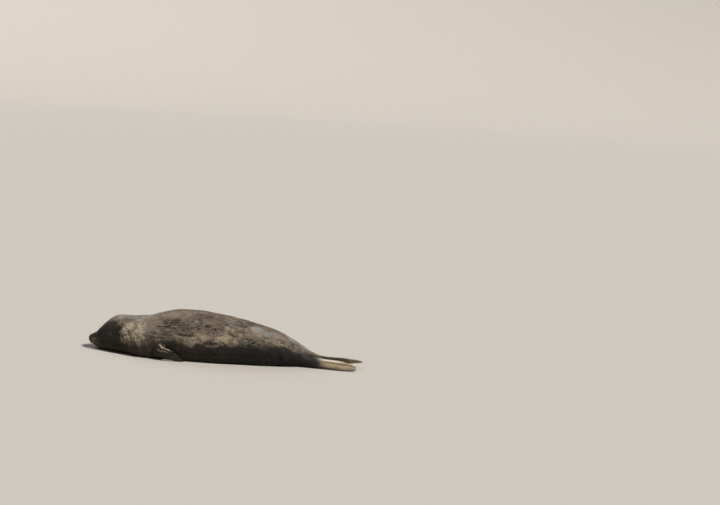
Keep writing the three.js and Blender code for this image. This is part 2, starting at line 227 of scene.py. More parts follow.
# The flippers, again as in the frame's solids
foreFlipper = {
    "path": ((772, 190, 106), (834, 314, 108), (892, 321, 84), (972, 320, 71)),
    "spread": ((0.3, 0.2, 0.93), (0.2, 0.38, 0.9)),
    "stations": ((0, 82, 66, 0), (0.3, 66, 44, 0), (0.5, 60, 27, 0.05), (0.75, 62, 17, 0.22),
                 (0.92, 63, 11, 0.38), (1, 58, 7, 0.3)),
    "slant": 140.0, "bow": 0.0, "scallop": 9.0,
    "window": (793, 903, -31, -1.5), "loops": 44, "blend": 12,
}
hindFlipper = {
    "path": ((2205, 60, 104), (2330, 94, 62), (2580, 90, 54), (2803, 82, 40)),
    "spread": ((0, -0.3, 0.95), (0, -0.84, 0.54)),
    "stations": ((0, 82, 66, 0), (0.2, 64, 46, 0), (0.38, 53, 30, 0.08), (0.6, 55, 20, 0.25),
                 (0.85, 65, 14, 0.36), (1, 48, 8, 0.3)),
    "slant": 56.0, "bow": 22.0, "scallop": 9.0,
    "window": (2292, 2424, -64, 26), "loops": 46, "blend": 14,
    "farStretch": 42.0, "farLift": 32.0,
}
digits = 5
blade = {
    "thinnest": 1.5,    # the least half thickness
    "flatness": 1.2,    # the power of the sine across the section
    "edge": 0.8,        # how far the outer edge is rounded, as a share of the half thickness
}


def flipperFrame(shape, t):
    # A cubic Bezier path; across leans from the first spread to the second, square to the path
    p = np.array(shape["path"], float)
    t = t[..., None]
    s = 1 - t
    centre = s ** 3 * p[0] + 3 * s * s * t * p[1] + 3 * s * t * t * p[2] + t ** 3 * p[3]
    along = s * s * (p[1] - p[0]) + 2 * s * t * (p[2] - p[1]) + t * t * (p[3] - p[2])
    along = along / np.linalg.norm(along, axis=-1, keepdims=True)
    spread = np.array(shape["spread"], float)
    across = spread[0] * s + spread[1] * t
    across = across - (across * along).sum(-1, keepdims=True) * along
    across = across / np.linalg.norm(across, axis=-1, keepdims=True)
    return centre, along, across, np.cross(across, along)


def stationCurve(shape, column):
    # One measure of a flipper's stations, as a curve from its root to its end
    return through([s[0] for s in shape["stations"]], [s[column] for s in shape["stations"]])


def flipperSurface(shape, t, angle, grow, over=0.0):
    # centre + along * reach(c) + across * half * c + outward * thickness * |sin|^flatness, where
    # c = cos(angle) runs across the digits, each of which ends in a lobe of 1 - 2 groove^4;
    # over goes to 1 round the outer edge.
    half, thick, ridge = (stationCurve(shape, k)(t) for k in (1, 2, 3))
    centre, along, across, outward = flipperFrame(shape, t)
    c, s = np.cos(angle), np.sin(angle)
    groove = (1 + np.cos(np.pi * digits * (c + 1))) / 2
    thick = np.maximum(thick * (1 - ridge * groove) + grow, blade["thinnest"])
    tip = shape["slant"] * (1 - c) * 0.5 + shape["bow"] * (1 - c * c)
    reach = tip * t * t + shape["scallop"] * (1 - 2 * groove ** 4) * t ** 6
    reach = reach + thick * blade["edge"] * np.sin(over * np.pi / 2) - blade["edge"] * thick * t ** 8
    thick = thick * np.cos(over * np.pi / 2)
    face = np.sign(s) * np.abs(s) ** blade["flatness"]
    return (centre + along * reach[..., None] + across * ((half + grow) * c)[..., None]
            + outward * (thick * face)[..., None])


eye = {
    "centre": (131.0, 54.0, 166.0), "radius": 25.0, "facing": (-0.30, 0.86, 0.34),
    "opening": (22.5, 17.0),    # half length and half height between the lids
    "lowerLid": 0.86,           # the lower lid's height as a share of the upper one's
    "tilt": 0.10,               # how much lower the corner near the nose sits
    "lid": 2.6,                 # thickness of the lid over the ball
    "fleshHeight": 19.5,        # how far the flesh round the opening stands out from the ball's middle
    "soft": 2.2,                # how softly the flesh runs up on the lid
    "creases": ((6.5, 1.8, 1.3), (12, 2.2, 0.8)),  # distance from the opening, width, depth
    "window": (102, 161, 24, 60),
    "loops": 17, "rim": 11,     # loops to the back of the socket, and to the lid's edge
}


def eyeAxes(tilt):
    # Unit vectors out of the eye, level across it, and up it; tilt turns the last two about the first
    facing = np.array(eye["facing"])
    facing = facing / np.linalg.norm(facing)
    level = np.cross(facing, [0, 0, 1.0])
    level = level / np.linalg.norm(level)
    level = level - tilt * np.cross(level, facing)
    level = level / np.linalg.norm(level)
    return facing, level, np.cross(level, facing)


mouth = {"front": (12, 50), "bow": (84, 48), "corner": (152, 72), "depth": 5.0, "width": 2.6, "lip": 3.0}


def mouthLevel(x):
    # A quadratic Bezier from front to corner, solved for its height above each x
    (x0, z0), (x1, z1), (x2, z2) = mouth["front"], mouth["bow"], mouth["corner"]
    a, b = x0 - 2 * x1 + x2, 2 * (x1 - x0)
    t = np.clip((-b + np.sqrt(np.maximum(b * b - 4 * a * (x0 - x), 0))) / (2 * a), 0, 1)
    return z0 * (1 - t) ** 2 + 2 * z1 * t * (1 - t) + z2 * t * t


# One closed skin: a body grid with windows, and a patch of loops grown from each window. Every point
# has one of these kinds.
bodyKind, flipperKind, lidKind, socketKind = range(4)

# The unwrapped skin: the body below, and above it a row of strips, one for each flipper
mapPlan = {
    "body": 0.8, "strips": 0.81, "stripHeight": 0.18, "stripStep": 0.25, "stripLength": 0.23, "margin": 0.01,
}


class Skin:
    def __init__(self):
        self.points, self.kinds, self.map, self.quads, self.tris = [], [], [], [], []
        self.lie, self.share, self.across = [], [], []
        self.count = 0

    def add(self, points, kind, place, lie=(1.0, 0.0, -0.12), share=0.0, across=0.0):
        # place is where a point lies on the unwrapped skin, lie is which way its hair lies, share is
        # how far out it is on a flipper or towards an eye, and across is from the first digit to the last.
        first = self.count
        points = np.asarray(points, float).reshape(-1, 3)
        self.lie.append(np.broadcast_to(np.asarray(lie, float), points.shape))
        self.share.append(np.broadcast_to(share, len(points)))
        self.across.append(np.broadcast_to(across, len(points)))
        self.points.append(points)
        self.kinds.append(np.full(len(points), kind))
        self.map.append(np.asarray(place, float).reshape(-1, 2))
        self.count += len(points)
        return np.arange(first, self.count)

    def join(self, one, other):
        # A band of four-sided faces between two closed loops of the same length
        self.quads.append(np.stack([one, np.roll(one, -1), np.roll(other, -1), other], 1))


def ringPlaces():
    # 1 - cos of even angles over each rounded end, so that the rings crowd towards its pole, and even
    # steps between
    count = body["capRings"]
    ease = 1 - np.cos(np.arange(count) / count * np.pi / 2)
    runs = [np.linspace(a, b, n, endpoint=False) for a, b, n in body["rings"]]
    tail = body["length"] - body["tailCap"] * (1 - np.cos(np.arange(count, -1, -1) / count * np.pi / 2))
    return np.concatenate([body["noseCap"] * ease, *runs, tail])


ringX = ringPlaces()
columns = body["columns"]
columnU = np.arange(columns) / columns
skin = Skin()


def windowCells(window, side):
    # The cells between two places along the body and two angles, on the right side or the left
    x0, x1, low, high = window
    i0, i1 = np.searchsorted(ringX, x0), np.searchsorted(ringX, x1)
    fine = np.linspace(-0.5, 0.5, 8001)
    u0, u1 = (np.interp(math.radians(a), columnAngle(fine), fine) for a in (low, high))
    j0, j1 = round(u0 * columns), round(u1 * columns)
    if side < 0:
        j0, j1 = columns // 2 - j1, columns // 2 - j0
    return int(i0), int(i1), int(j0), int(j1)


def windowLoop(cells):
    # The grid points round a window, in order
    i0, i1, j0, j1 = cells
    rows, turns = i1 - i0, j1 - j0
    i = np.concatenate([np.full(turns, i0), np.arange(i0, i1), np.full(turns, i1), np.arange(i1, i0, -1)])
    j = np.concatenate([np.arange(j0, j1), np.full(rows, j1), np.arange(j1, j0, -1), np.full(rows, j0)])
    return i, j


patchPlans = [(shape, side, name) for side in (1, -1)
              for shape, name in ((foreFlipper, "fore"), (hindFlipper, "hind"), (eye, "eye"))]
windows = [windowCells(shape["window"], side) for shape, side, _ in patchPlans]

inner = ringX[1:-1]
grid = bodySurface(inner[:, None], columnAngle(columnU)[None, :], -body["coatDepth"])
alongShare = (np.arange(len(inner)) + 1) / (len(inner) + 1)
spread = np.stack(np.broadcast_arrays(alongShare[:, None], columnU[None, :] * mapPlan["body"]), -1)
ids = skin.add(grid, bodyKind, spread).reshape(len(inner), columns)
filled = np.ones((len(inner) - 1, columns), bool)
for i0, i1, j0, j1 in windows:
    filled[np.ix_(np.arange(i0 - 1, i1 - 1), np.arange(j0, j1) % columns)] = False
ii, jj = np.nonzero(filled)
jn = (jj + 1) % columns
skin.quads.append(np.stack([ids[ii, jj], ids[ii, jn], ids[ii + 1, jn], ids[ii + 1, jj]], 1))
# Each end closes in a fan
for end, ring, turnRound in ((ringX[0], 0, False), (ringX[-1], -1, True)):
    place = [[0 if ring == 0 else 1, mapPlan["body"] / 2]]
    tip = skin.add(bodySurface(np.array([end]), np.array([0.0]), 0), bodyKind, place)
    here, following = ids[ring], np.roll(ids[ring], -1)
    pole = np.full(columns, tip[0])
    skin.tris.append(np.stack([following, here, pole] if turnRound else [here, following, pole], 1))

finPatch = {
    "tries": 241,       # places along a flipper that are tried for where it leaves the body
    "settled": 0.6,     # share of the loops over which the columns come to stand evenly
    "edgeLoops": 3,     # the last loops, which go round the outer edge
    "edgeTurn": 0.86,   # and how far round it they go
}


def flipperPatch(shape, side, cells, strip):
    # Loops from the window's border out over the flipper, blended from the border's own shape into
    # the flipper's surface
    i, j = windowLoop(cells)
    edge = ids[i - 1, j % columns]
    mirror = np.array([1, side, 1])
    border = skin.points[0][edge] * mirror
    count = len(edge)
    # Each border point gets the angle of the flipper's section that it faces
    ts = np.linspace(0, 1, finPatch["tries"])
    near = np.argmin(np.linalg.norm(flipperFrame(shape, ts)[0] - border.mean(0), axis=1))
    centre, _, across, outward = (v[near] for v in flipperFrame(shape, ts))
    half, thick = (stationCurve(shape, k)(ts[near]) for k in (1, 2))
    away = border - centre
    angle = np.unwrap(np.arctan2(away @ outward / thick, away @ across / half))
    sign = np.sign(angle[-1] - angle[0])
    start = int(np.argmin(np.abs(np.angle(np.exp(1j * angle)))))
    even = sign * 2 * np.pi * (np.arange(count) - start) / count
    angle = even + np.angle(np.exp(1j * (angle - even)))
    # Each column leaves the body where the flipper's surface comes nearest to its border point
    surface = flipperSurface(shape, ts[:, None], angle[None, :], -body["coatDepth"])
    leave = ts[np.argmin(np.linalg.norm(surface - border[None], axis=2), axis=0)]
    leave = (np.roll(leave, 1) + np.roll(leave, -1) + 2 * leave) / 4
    last, loops = edge, shape["loops"]
    toEdge = loops - finPatch["edgeLoops"]
    for k in range(1, loops + 1):
        share = k / loops
        t = leave + (1 - leave) * np.minimum(share * loops / toEdge, 1)
        over = max(0.0, (k - toEdge) / finPatch["edgeLoops"]) * finPatch["edgeTurn"]
        settle = smooth(0, finPatch["settled"], share)
        point = flipperSurface(shape, t, angle * (1 - settle) + even * settle, -body["coatDepth"], over)
        blend = smooth(0, 1, np.minimum(k / shape["blend"], 1))
        point = border * (1 - blend) + point * blend
        stripX = strip * mapPlan["stripStep"] + mapPlan["margin"] + mapPlan["stripLength"] * share
        stripY = mapPlan["strips"] + mapPlan["stripHeight"] * np.arange(count) / count
        unwrap = np.stack([stripX + 0 * t, stripY], 1)
        lie = flipperFrame(shape, t)[1] * mirror
        row = skin.add(point * mirror, flipperKind, unwrap, lie, t, np.cos(even))
        skin.join(last, row)
        last = row
    # The thin outer edge is closed by a strip across it
    order = np.roll(last, -start)
    m = np.arange(1, count // 2 - 1)
    skin.quads.append(np.stack([order[m], order[m + 1], order[-m - 1], order[-m]], 1))
    skin.tris.append(np.array([[order[0], order[1], order[-1]],
                               [order[count // 2 - 1], order[count // 2], order[count // 2 + 1]]]))


def lidRow(flat, height, opening, share):
    # The flesh dips towards the eye and the lid rides over the ball: the height is the soft maximum of
    # the two, less the creases round the opening
    place = flat * (1 - share) + opening * share
    base = height * (1 - share ** 1.5) + eye["fleshHeight"] * share ** 1.5
    over = np.sqrt(np.maximum((eye["radius"] + eye["lid"]) ** 2 - (place ** 2).sum(1), 0))
    gap = np.hypot(*(place - opening).T)
    crease = sum(depth * hump(gap, far, width) for far, width, depth in eye["creases"])
    lift = np.logaddexp(base / eye["soft"], over / eye["soft"]) * eye["soft"]
    onLid = smooth(0.75, 1, share)
    lift = lift * (1 - onLid) + (over - 0.3) * onLid
    return place, lift - crease * (1 - share ** 8)


def socketRow(opening, depth, axes):
    # Round the lid's edge, down to the ball and behind it: points at one radius, whose angle from the
    # front grows with the depth
    facing, level, rise = axes
    polar = np.arcsin(np.clip(np.hypot(*opening.T) / (eye["radius"] + eye["lid"]), 0, 1))
    start = polar * (1 - 0.04 * min(depth * 6, 1))
    radius = eye["radius"] + eye["lid"] * max(0.35, 1 - depth * 4) + (0.8 if depth > 0.3 else 0)
    polar = start + (np.pi - start) * smooth(0.25, 1.15, depth)
    turned = np.arctan2(opening[:, 1], opening[:, 0])
    direction = (np.outer(np.sin(polar) * np.cos(turned), level)
                 + np.outer(np.sin(polar) * np.sin(turned), rise) + np.outer(np.cos(polar), facing))
    return np.array(eye["centre"]) + radius * direction


def eyePatch(side, cells):
    # Loops from the window's border in to the lids, and round their edge into a closed socket
    i, j = windowLoop(cells)
    edge = ids[i - 1, j % columns]
    mirror = np.array([1, side, 1])
    border = skin.points[0][edge] * mirror
    centre, axes = np.array(eye["centre"]), eyeAxes(eye["tilt"])
    facing, level, rise = axes
    flat = np.stack([(border - centre) @ level, (border - centre) @ rise], 1)
    height = (border - centre) @ facing
    # A rounded almond: the upper lid is fuller than the lower one
    halfLength, halfHeight = eye["opening"]
    turn = np.arctan2(flat[:, 1] / halfHeight, flat[:, 0] / halfLength)
    full = np.where(np.sin(turn) > 0, 1.0, eye["lowerLid"])
    opening = np.stack([np.cos(turn) * halfLength, np.sin(turn) * halfHeight * full], 1)
    along, around = i / (len(ringX) - 1), j / columns
    last, loops, rim = edge, eye["loops"], eye["rim"]
    for k in range(1, loops + 1):
        if k <= rim:
            place, lift = lidRow(flat, height, opening, k / rim)
            point = centre + place @ np.stack([level, rise]) + np.outer(lift, facing)
        else:
            point = socketRow(opening, (k - rim) / (loops - rim), axes)
        shrink = 1 - 0.9 * k / (loops + 1)
        unwrap = np.stack([along.mean() + (along - along.mean()) * shrink,
                           (around.mean() + (around - around.mean()) * shrink) * mapPlan["body"]], 1)
        row = skin.add(point * mirror, lidKind if k <= rim else socketKind, unwrap, share=min(k / rim, 1))
        skin.join(last, row)
        last = row
    back = skin.add((centre - facing * (eye["radius"] + 1)) * mirror, socketKind,
                    [[along.mean(), around.mean() * mapPlan["body"]]])
    skin.tris.append(np.stack([last, np.roll(last, -1), np.full(len(last), back[0])], 1))


# The far hind flipper reaches further back and up than the near one
farTip = np.add(hindFlipper["path"][3], (hindFlipper["farStretch"], 0, hindFlipper["farLift"]))
farHind = {**hindFlipper, "path": (*hindFlipper["path"][:3], tuple(farTip))}
for (shape, side, name), cells in zip(patchPlans, windows):
    if name == "eye":
        eyePatch(side, cells)
    else:
        strip = (0 if name == "fore" else 2) + (0 if side > 0 else 1)
        flipperPatch(farHind if name == "hind" and side > 0 else shape, side, cells, strip)

points = np.concatenate(skin.points)
kinds = np.concatenate(skin.kinds)
unwrapped = np.concatenate(skin.map)
lie, outShare, acrossFin = (np.concatenate(v) for v in (skin.lie, skin.share, skin.across))
quads, tris = np.concatenate(skin.quads), np.concatenate(skin.tris)
used = np.zeros(len(points), bool)
used[quads.ravel()] = True
used[tris.ravel()] = True
renumber = np.cumsum(used) - 1
points, kinds, unwrapped = points[used], kinds[used], unwrapped[used]
lie, outShare, acrossFin = lie[used], outShare[used], acrossFin[used]
quads, tris = renumber[quads], renumber[tris]


def faceNormals(p, quads, tris):
    # Half the cross product of the diagonals, and of two edges for a triangle
    return (np.cross(p[quads[:, 2]] - p[quads[:, 0]], p[quads[:, 3]] - p[quads[:, 1]]) / 2,
            np.cross(p[tris[:, 1]] - p[tris[:, 0]], p[tris[:, 2]] - p[tris[:, 0]]) / 2)


def pointNormals(p):
    # The sum of the normals of the faces at each point, made one long
    fromQuads, fromTris = faceNormals(p, quads, tris)
    total = np.zeros_like(p)
    for k in range(4):
        np.add.at(total, quads[:, k], fromQuads)
    for k in range(3):
        np.add.at(total, tris[:, k], fromTris)
    return total / np.maximum(np.linalg.norm(total, axis=1, keepdims=True), 1e-12)


# Faces are turned outwards if the enclosed volume says that they point in
fromQuads, _ = faceNormals(points, quads, tris)
if (fromQuads * points[quads].mean(1)).sum() < 0:
    quads, tris = quads[:, ::-1], tris[:, ::-1]

edges = np.concatenate([quads[:, [0, 1]], quads[:, [1, 2]], quads[:, [2, 3]], quads[:, [3, 0]],
                        tris[:, [0, 1]], tris[:, [1, 2]], tris[:, [2, 0]]])


def relax(p, weight, rounds):
    # Each point moves by its weight towards the mean of its neighbours
    for _ in range(rounds):
        total, count = np.zeros_like(p), np.zeros(len(p))
        for a, b in ((0, 1), (1, 0)):
            np.add.at(total, edges[:, a], p[edges[:, b]])
            np.add.at(count, edges[:, a], 1)
        p = p + (total / count[:, None] - p) * weight[:, None]
    return p


# The joins of the flippers are eased into the body: touch is 1 at a join and fades with each edge
join = {"steps": 7, "fade": 0.86, "ease": 0.6, "rounds": 14}
onFin = kinds == flipperKind
atJoin = (onFin[edges[:, 0]] != onFin[edges[:, 1]]).astype(float)
touch = np.zeros(len(points))
for end in (0, 1):
    np.maximum.at(touch, edges[:, end], atJoin)
for _ in range(join["steps"]):
    wider = touch.copy()
    for here, other in ((0, 1), (1, 0)):
        np.maximum.at(wider, edges[:, here], touch[edges[:, other]] * join["fade"])
    touch = wider
onFlipper = onFin * (1 - smooth(0.36, 0.95, touch))  # 0 at a flipper's join, 1 from 5 cm on
points = relax(points, join["ease"] * touch, join["rounds"])
print("skin shaped:", len(points), "points,", 2 * len(quads) + len(tris), "triangles")


# Folds and small forms of the flesh
face = {
    "nostril": ((5, 15, 97), (15, 33, 121)), "nostrilDepth": 11.0, "nostrilWidth": 4.2,
    "ear": (226, 131, 178), "earDepth": 7.0, "earWidth": 3.6,
    "pad": (58, 88, 26, 24),    # middle and reach, along and up, of the whiskers' pad
}
wrinkles = {
    "neckFold": 3.6, "neckStep": 6.6, "neckNet": 5.5, "crease": 3.4, "lump": 2.8, "roll": 5.0,
    "rollStep": 17, "underfold": 13.0, "gash": 7.0, "lip": 4.0,
}


# Open creases: place along the body and degrees down at the front and at the rear end, half the
# height in mm, and which side they are on: -1 is the left
gashes = (
    (795, 57, 925, 60, 6, -1), (1015, 71, 1145, 76, 11, -1), (1180, 82, 1250, 80, 7, -1),
    (1295, 85, 1455, 86, 11, -1), (1315, 53, 1395, 55, 6, -1), (1425, 42, 1515, 37, 6, -1),
    (1450, 79, 1520, 82, 6, -1), (1700, 81, 1790, 79, 9, -1), (1130, 63, 1205, 61, 5, -1),
    (1585, 30, 1680, 26, 6, -1), (945, 66, 1000, 69, 5, -1), (1560, 62, 1640, 66, 6, -1),
    (1830, 80, 1930, 77, 6, -1),
    (820, 61, 930, 58, 6, 1), (1060, 74, 1190, 70, 9, 1), (1240, 83, 1370, 85, 8, 1),
    (1350, 50, 1450, 54, 6, 1), (1500, 77, 1600, 80, 8, 1), (1540, 38, 1640, 34, 6, 1),
    (1700, 66, 1780, 69, 6, 1), (1850, 79, 1940, 76, 6, 1), (1010, 52, 1090, 55, 5, 1),
    (1180, 60, 1260, 57, 6, 1),
)


def creaseAt(p):
    # How far each point is into a gash, and onto the lip below it: Gaussians of the distance down
    # from the gash's line, which noise bends
    x, y = p[:, 0], p[:, 1]
    down = degreesDown(p)
    reach = np.hypot(y, p[:, 2] - curves[2](x)) * np.pi / 180   # mm for each degree
    bent = 9 * noise(p, 60, 41) + 4 * noise(p, 22, 42)
    gash, lip = np.zeros(len(p)), np.zeros(len(p))
    for start, top, stop, bottom, half, side in gashes:
        below = (down * side - np.interp(x, (start, stop), (top, bottom))) * reach + bent
        within = smooth(start - 22, start + 18, x) * smooth(stop + 22, stop - 18, x) * (y * side > 0)
        gash = np.maximum(gash, hump(below, 0, half) * within)
        lip = np.maximum(lip, hump(below, 1.9 * half, half) * within)
    return gash, lip * (1 - gash)


def asRight(p):
    # Points of the left side, put where the right side has them
    return np.stack([p[:, 0], np.abs(p[:, 1]), p[:, 2]], 1)


def segmentDistance(p, a, b):
    # The distance from each point to the nearest point of the line from a to b
    a, b = np.array(a, float), np.array(b, float)
    t = np.clip((p - a) @ (b - a) / ((b - a) @ (b - a)), 0, 1)
    return np.linalg.norm(p - a - t[:, None] * (b - a), axis=1)


def folds(p):
    # Rolls across the neck are raised sines of the distance along it, bent and broken by noise.
    # Creases are the ridges of 1 - |noise|.
    x, side, low = p[:, 0], np.abs(p[:, 1]), p[:, 2]
    onNeck = smooth(255, 360, x) * (1 - smooth(560, 760, x)) * smooth(20, 110, low)
    onNeck = onNeck * (0.35 + 0.65 * smooth(20, 48, np.abs(degreesDown(p))))
    wave = np.sin((x + 34 * noise(p, 170, 5) + 12 * noise(p, 60, 6) + 0.18 * low) / wrinkles["neckStep"])
    broken = smooth(-0.5, 0.35, noise(p * np.array([0.6, 1, 1]), 120, 7))
    d = wrinkles["neckFold"] * onNeck * broken * (smooth(-0.8, 1, wave) - 0.55)
    net = 1 - np.abs(noise(p * np.array([1.0, 0.5, 0.5]), 22, 3) + 0.5 * noise(p, 11, 4))
    d -= wrinkles["neckNet"] * onNeck * smooth(0.66, 1.0, net)
    trunk = smooth(430, 760, x) * (1 - smooth(2120, 2330, x))
    crease = 1 - np.abs(noise(p * np.array([0.45, 1, 1]), 62, 21) + 0.35 * noise(p, 21, 22))
    d -= wrinkles["crease"] * smooth(0.80, 1.0, crease) * trunk
    gash, lip = creaseAt(p)
    d += wrinkles["lip"] * lip - wrinkles["gash"] * gash
    lumpy = smooth(150, 420, x) * (1 - 0.8 * smooth(2250, 2400, x))
    d += wrinkles["lump"] * rough(p * np.array([0.7, 1, 1]), 130, 3, 11) * lumpy
    # The flank bulges over the flattened underside, with a long hollow below it
    tuck = hump(low, 88, 42) * smooth(120, 200, side) * smooth(640, 820, x) * smooth(2200, 1900, x)
    d -= wrinkles["underfold"] * tuck * (0.8 + 0.25 * noise(p, 160, 9))
    # The breast and the hollow before the hip hang in soft rolls
    hang = (hump(x, 650, 105) + 0.8 * hump(x, 2090, 75)) * smooth(300, 120, low) * smooth(90, 200, side)
    d += wrinkles["roll"] * np.sin((x + 0.35 * low) / wrinkles["rollStep"]) * hang
    return d


def faceForms(p):
    # Gaussians of the distance from the mouth line, the nostrils, the ear holes and the eyes
    q = asRight(p)
    x, y, z = q.T
    gap = z - mouthLevel(x)
    corner = mouth["corner"][0]
    toCorner = 1 - smooth(corner - 12, corner + 4, x)
    d = -mouth["depth"] * hump(gap, 0, mouth["width"]) * toCorner
    d += mouth["lip"] * hump(gap, 8, 6) * toCorner
    d -= 3.5 * smooth(-2, -7, gap) * smooth(-34, -18, gap) * toCorner
    d -= 3.0 * hump(x, corner + 3, 7) * hump(gap, 0, 8)
    # Each nostril is a slit with a raised rim, and a groove runs down between the two
    slit = segmentDistance(q, *face["nostril"])
    d -= face["nostrilDepth"] * hump(slit, 0, face["nostrilWidth"])
    d += 2.8 * hump(slit, 9.5, 4)
    d -= 2.0 * hump(y, 0, 3.4) * smooth(34, 16, x) * smooth(64, 74, z) * smooth(140, 120, z)
    hole = np.linalg.norm(q - np.array(face["ear"]), axis=1)
    d += 1.6 * hump(hole, 8, 4) - face["earDepth"] * hump(hole, 0, face["earWidth"])
    # Folds under and behind the eye, and three soft ones over the muzzle
    away = q - np.array(eye["centre"]) - np.array([0, 26, 0])
    fromEye = np.linalg.norm(away * np.array([0.8, 0.5, 1.0]), axis=1)
    behind = smooth(120, 150, x) * smooth(215, 180, x)
    d -= (1.4 * hump(fromEye, 31, 2.6) + 1.1 * hump(fromEye, 42, 3)) * behind
    d += 1.2 * np.sin(x / 5.2 + z / 40) * smooth(58, 78, x) * smooth(122, 100, x) * smooth(130, 152, z)
    # Rows of whisker roots stand up a little on the pads
    padX, padZ, alongPad, upPad = face["pad"]
    onPad = hump(x, padX, alongPad) * hump(z, padZ, upPad)
    d += 0.9 * np.cos(x / 1.7) * np.cos((z - 0.35 * x) / 1.9) * onPad
    return d * smooth(300, 240, x)


normals = pointNormals(points)
onBody = kinds == bodyKind
lift = (folds(points) + faceForms(points)) * onBody * (1 - 0.7 * smooth(0.2, 0.9, touch))
lift[onFin] += 0.8 * rough(points[onFin] * np.array([0.35, 1, 1]), 22, 3, 31)
points = points + normals * lift[:, None]
straight = relax(points, np.where(onBody & (points[:, 0] > 20), 0.12, 0.0), 1)
straight[:, 2] = np.maximum(straight[:, 2], body["floorGap"])
placed = toFrame(straight)


def makeMesh(name, points, quads, tris=None):
    # The four-sided faces come first, and all are smooth
    tris = np.zeros((0, 3), int) if tris is None else tris
    mesh = bpy.data.meshes.new(name)
    mesh.vertices.add(len(points))
    mesh.vertices.foreach_set("co", np.ascontiguousarray(points, dtype=np.float32).ravel())
    corners = np.concatenate([quads.ravel(), tris.ravel()]).astype(np.int32)
    starts = np.concatenate([4 * np.arange(len(quads)), 4 * len(quads) + 3 * np.arange(len(tris))])
    mesh.loops.add(len(corners))
    mesh.loops.foreach_set("vertex_index", corners)
    mesh.polygons.add(len(starts))
    mesh.polygons.foreach_set("loop_start", starts.astype(np.int32))
    mesh.update(calc_edges=True)
    mesh.polygons.foreach_set("use_smooth", np.ones(len(starts), bool))
    mesh.validate()
    holder = bpy.data.objects.new(name, mesh)
    bpy.context.collection.objects.link(holder)
    return holder


def setAttribute(holder, name, values):
    layer = holder.data.attributes.get(name) or holder.data.attributes.new(name, "FLOAT", "POINT")
    layer.data.foreach_set("value", np.asarray(values, np.float32))


def setMap(holder, places):
    # One place on the unwrapped skin for each point, copied to the corners of the faces
    layer = holder.data.uv_layers.new(name="OFBake")
    corner = np.zeros(len(holder.data.loops), np.int32)
    holder.data.loops.foreach_get("vertex_index", corner)
    layer.data.foreach_set("uv", np.ascontiguousarray(places[corner], dtype=np.float32).ravel())


def bothSides(*plans):
    # Each patch on the left side and on the right
    return [(x, side * down, *rest) for side in (-1, 1) for x, down, *rest in plans]


# Markings, worked out from the place on the straight body. Each patch is its place along the body,
# degrees down from the back (the left side is below 0), its reach along and down, and, where it
# isn't 1, its height.
marks = {
    "newCoat": (  # grey new fur
        (540, 0, 280, 34), (835, -75, 95, 13), (1000, -64, 190, 5), (1205, -50, 45, 9),
        (1590, -28, 120, 13), (1900, -34, 200, 15), (1790, -69, 105, 9), (2290, 0, 190, 30),
        (1180, -9, 90, 8), (700, 62, 110, 14), (1080, 38, 140, 12), (1480, 66, 150, 9),
        (1760, 30, 190, 13), (1300, 20, 60, 9), (2050, 62, 80, 8),
    ),
    "crust": (  # where the old coat lifts in scabs
        (545, -70, 120, 26), (1010, -52, 190, 15), (1120, -70, 110, 9), (1330, -57, 160, 12),
        (1570, -30, 130, 15), (1790, -72, 120, 9), (1450, -84, 190, 5), (830, -78, 90, 12, 0.75),
        (1330, -24, 210, 9), (560, 66, 130, 26), (960, 58, 200, 14), (1300, 72, 220, 9),
        (1540, 40, 170, 14), (1850, 60, 130, 12), (1080, 15, 160, 9),
    ),
    "dusk": (  # darker old coat
        (1115, -66, 170, 11), (1790, -70, 130, 12), (1150, -87, 80, 7, 0.6), (1990, -74, 110, 9),
        (1000, 62, 190, 12), (1560, 78, 180, 8), *bothSides((1370, 50, 190, 18, 0.48)),
    ),
    "fawn": bothSides(  # smooth paler brown
        (700, 42, 125, 40), (2030, 38, 150, 22), (1230, 8, 150, 16, 0.5), (930, 27, 130, 17, 0.9),
    ),
    "tan": (  # paler flanks
        *bothSides((1330, 80, 420, 17), (1610, 54, 160, 20), (2010, 52, 180, 16), (560, 84, 160, 18)),
        (2262, -42, 52, 13),
    ),
    "straw": bothSides((560, 64, 140, 32)),  # the palest, on the neck
}
# Degrees down from the back where the painted shade of the underside begins, at places along the body
underside = (
    (400, 560, 700, 850, 1000, 1100, 1200, 1450, 1600, 1800, 1930, 2087, 2170, 2280, 2400),
    (93, 91, 90, 86, 85, 88, 91, 88, 82, 81.5, 80, 65, 68, 68, 60),
)


def patches(x, down, kind):
    # The highest of the Gaussians of one kind at each place; a fifth number is its height
    total = np.zeros(len(x))
    for px, pd, rx, rd, *height in marks[kind]:
        far = ((x - px) / rx) ** 2 + ((down - pd) / rd) ** 2
        total = np.maximum(total, (height[0] if height else 1.0) * np.exp(-far))
    return total


def paintedFaceShade(p, low, kinds, share, flesh):
    # The painted shade of the face ends in a ragged line that slants back towards the throat, and thins
    # out over the crown and the bridge of the nose, where light falls
    x = p[:, 0]
    ragged = 40 * noise(p, 90, 85) + 34 * noise(p, 34, 86)
    behind = x - 1.6 * (low - 50) + ragged
    crown = smooth(20, 46, low + 9 * noise(p, 60, 88))
    head = smooth(462, 330, behind) * (0.36 + 0.64 * crown) * flesh
    head = np.maximum(head, 0.85 * smooth(250, 110, x) * (0.5 + 0.5 * crown))
    head = np.maximum(head, 0.9 * smooth(60, 20, x))
    return np.maximum(head, (kinds == lidKind) * smooth(0.3, 0.8, share))


def deepShade(p, kinds, share, flesh):
    # Painted shade in the mouth line, the nostrils and the sockets, and the dark of the lids' edges
    x = p[:, 0]
    slit = segmentDistance(asRight(p), *face["nostril"])
    shade = hump(p[:, 2], mouthLevel(x), 3.0) * smooth(160, 150, x) * flesh
    shade = np.maximum(shade, np.exp(-(slit / 4.4) ** 4))
    shade = np.where(kinds == socketKind, 1.0, shade)
    return np.where(kinds == lidKind, np.maximum(shade, 0.92 * smooth(0.86, 0.97, share)), shade)


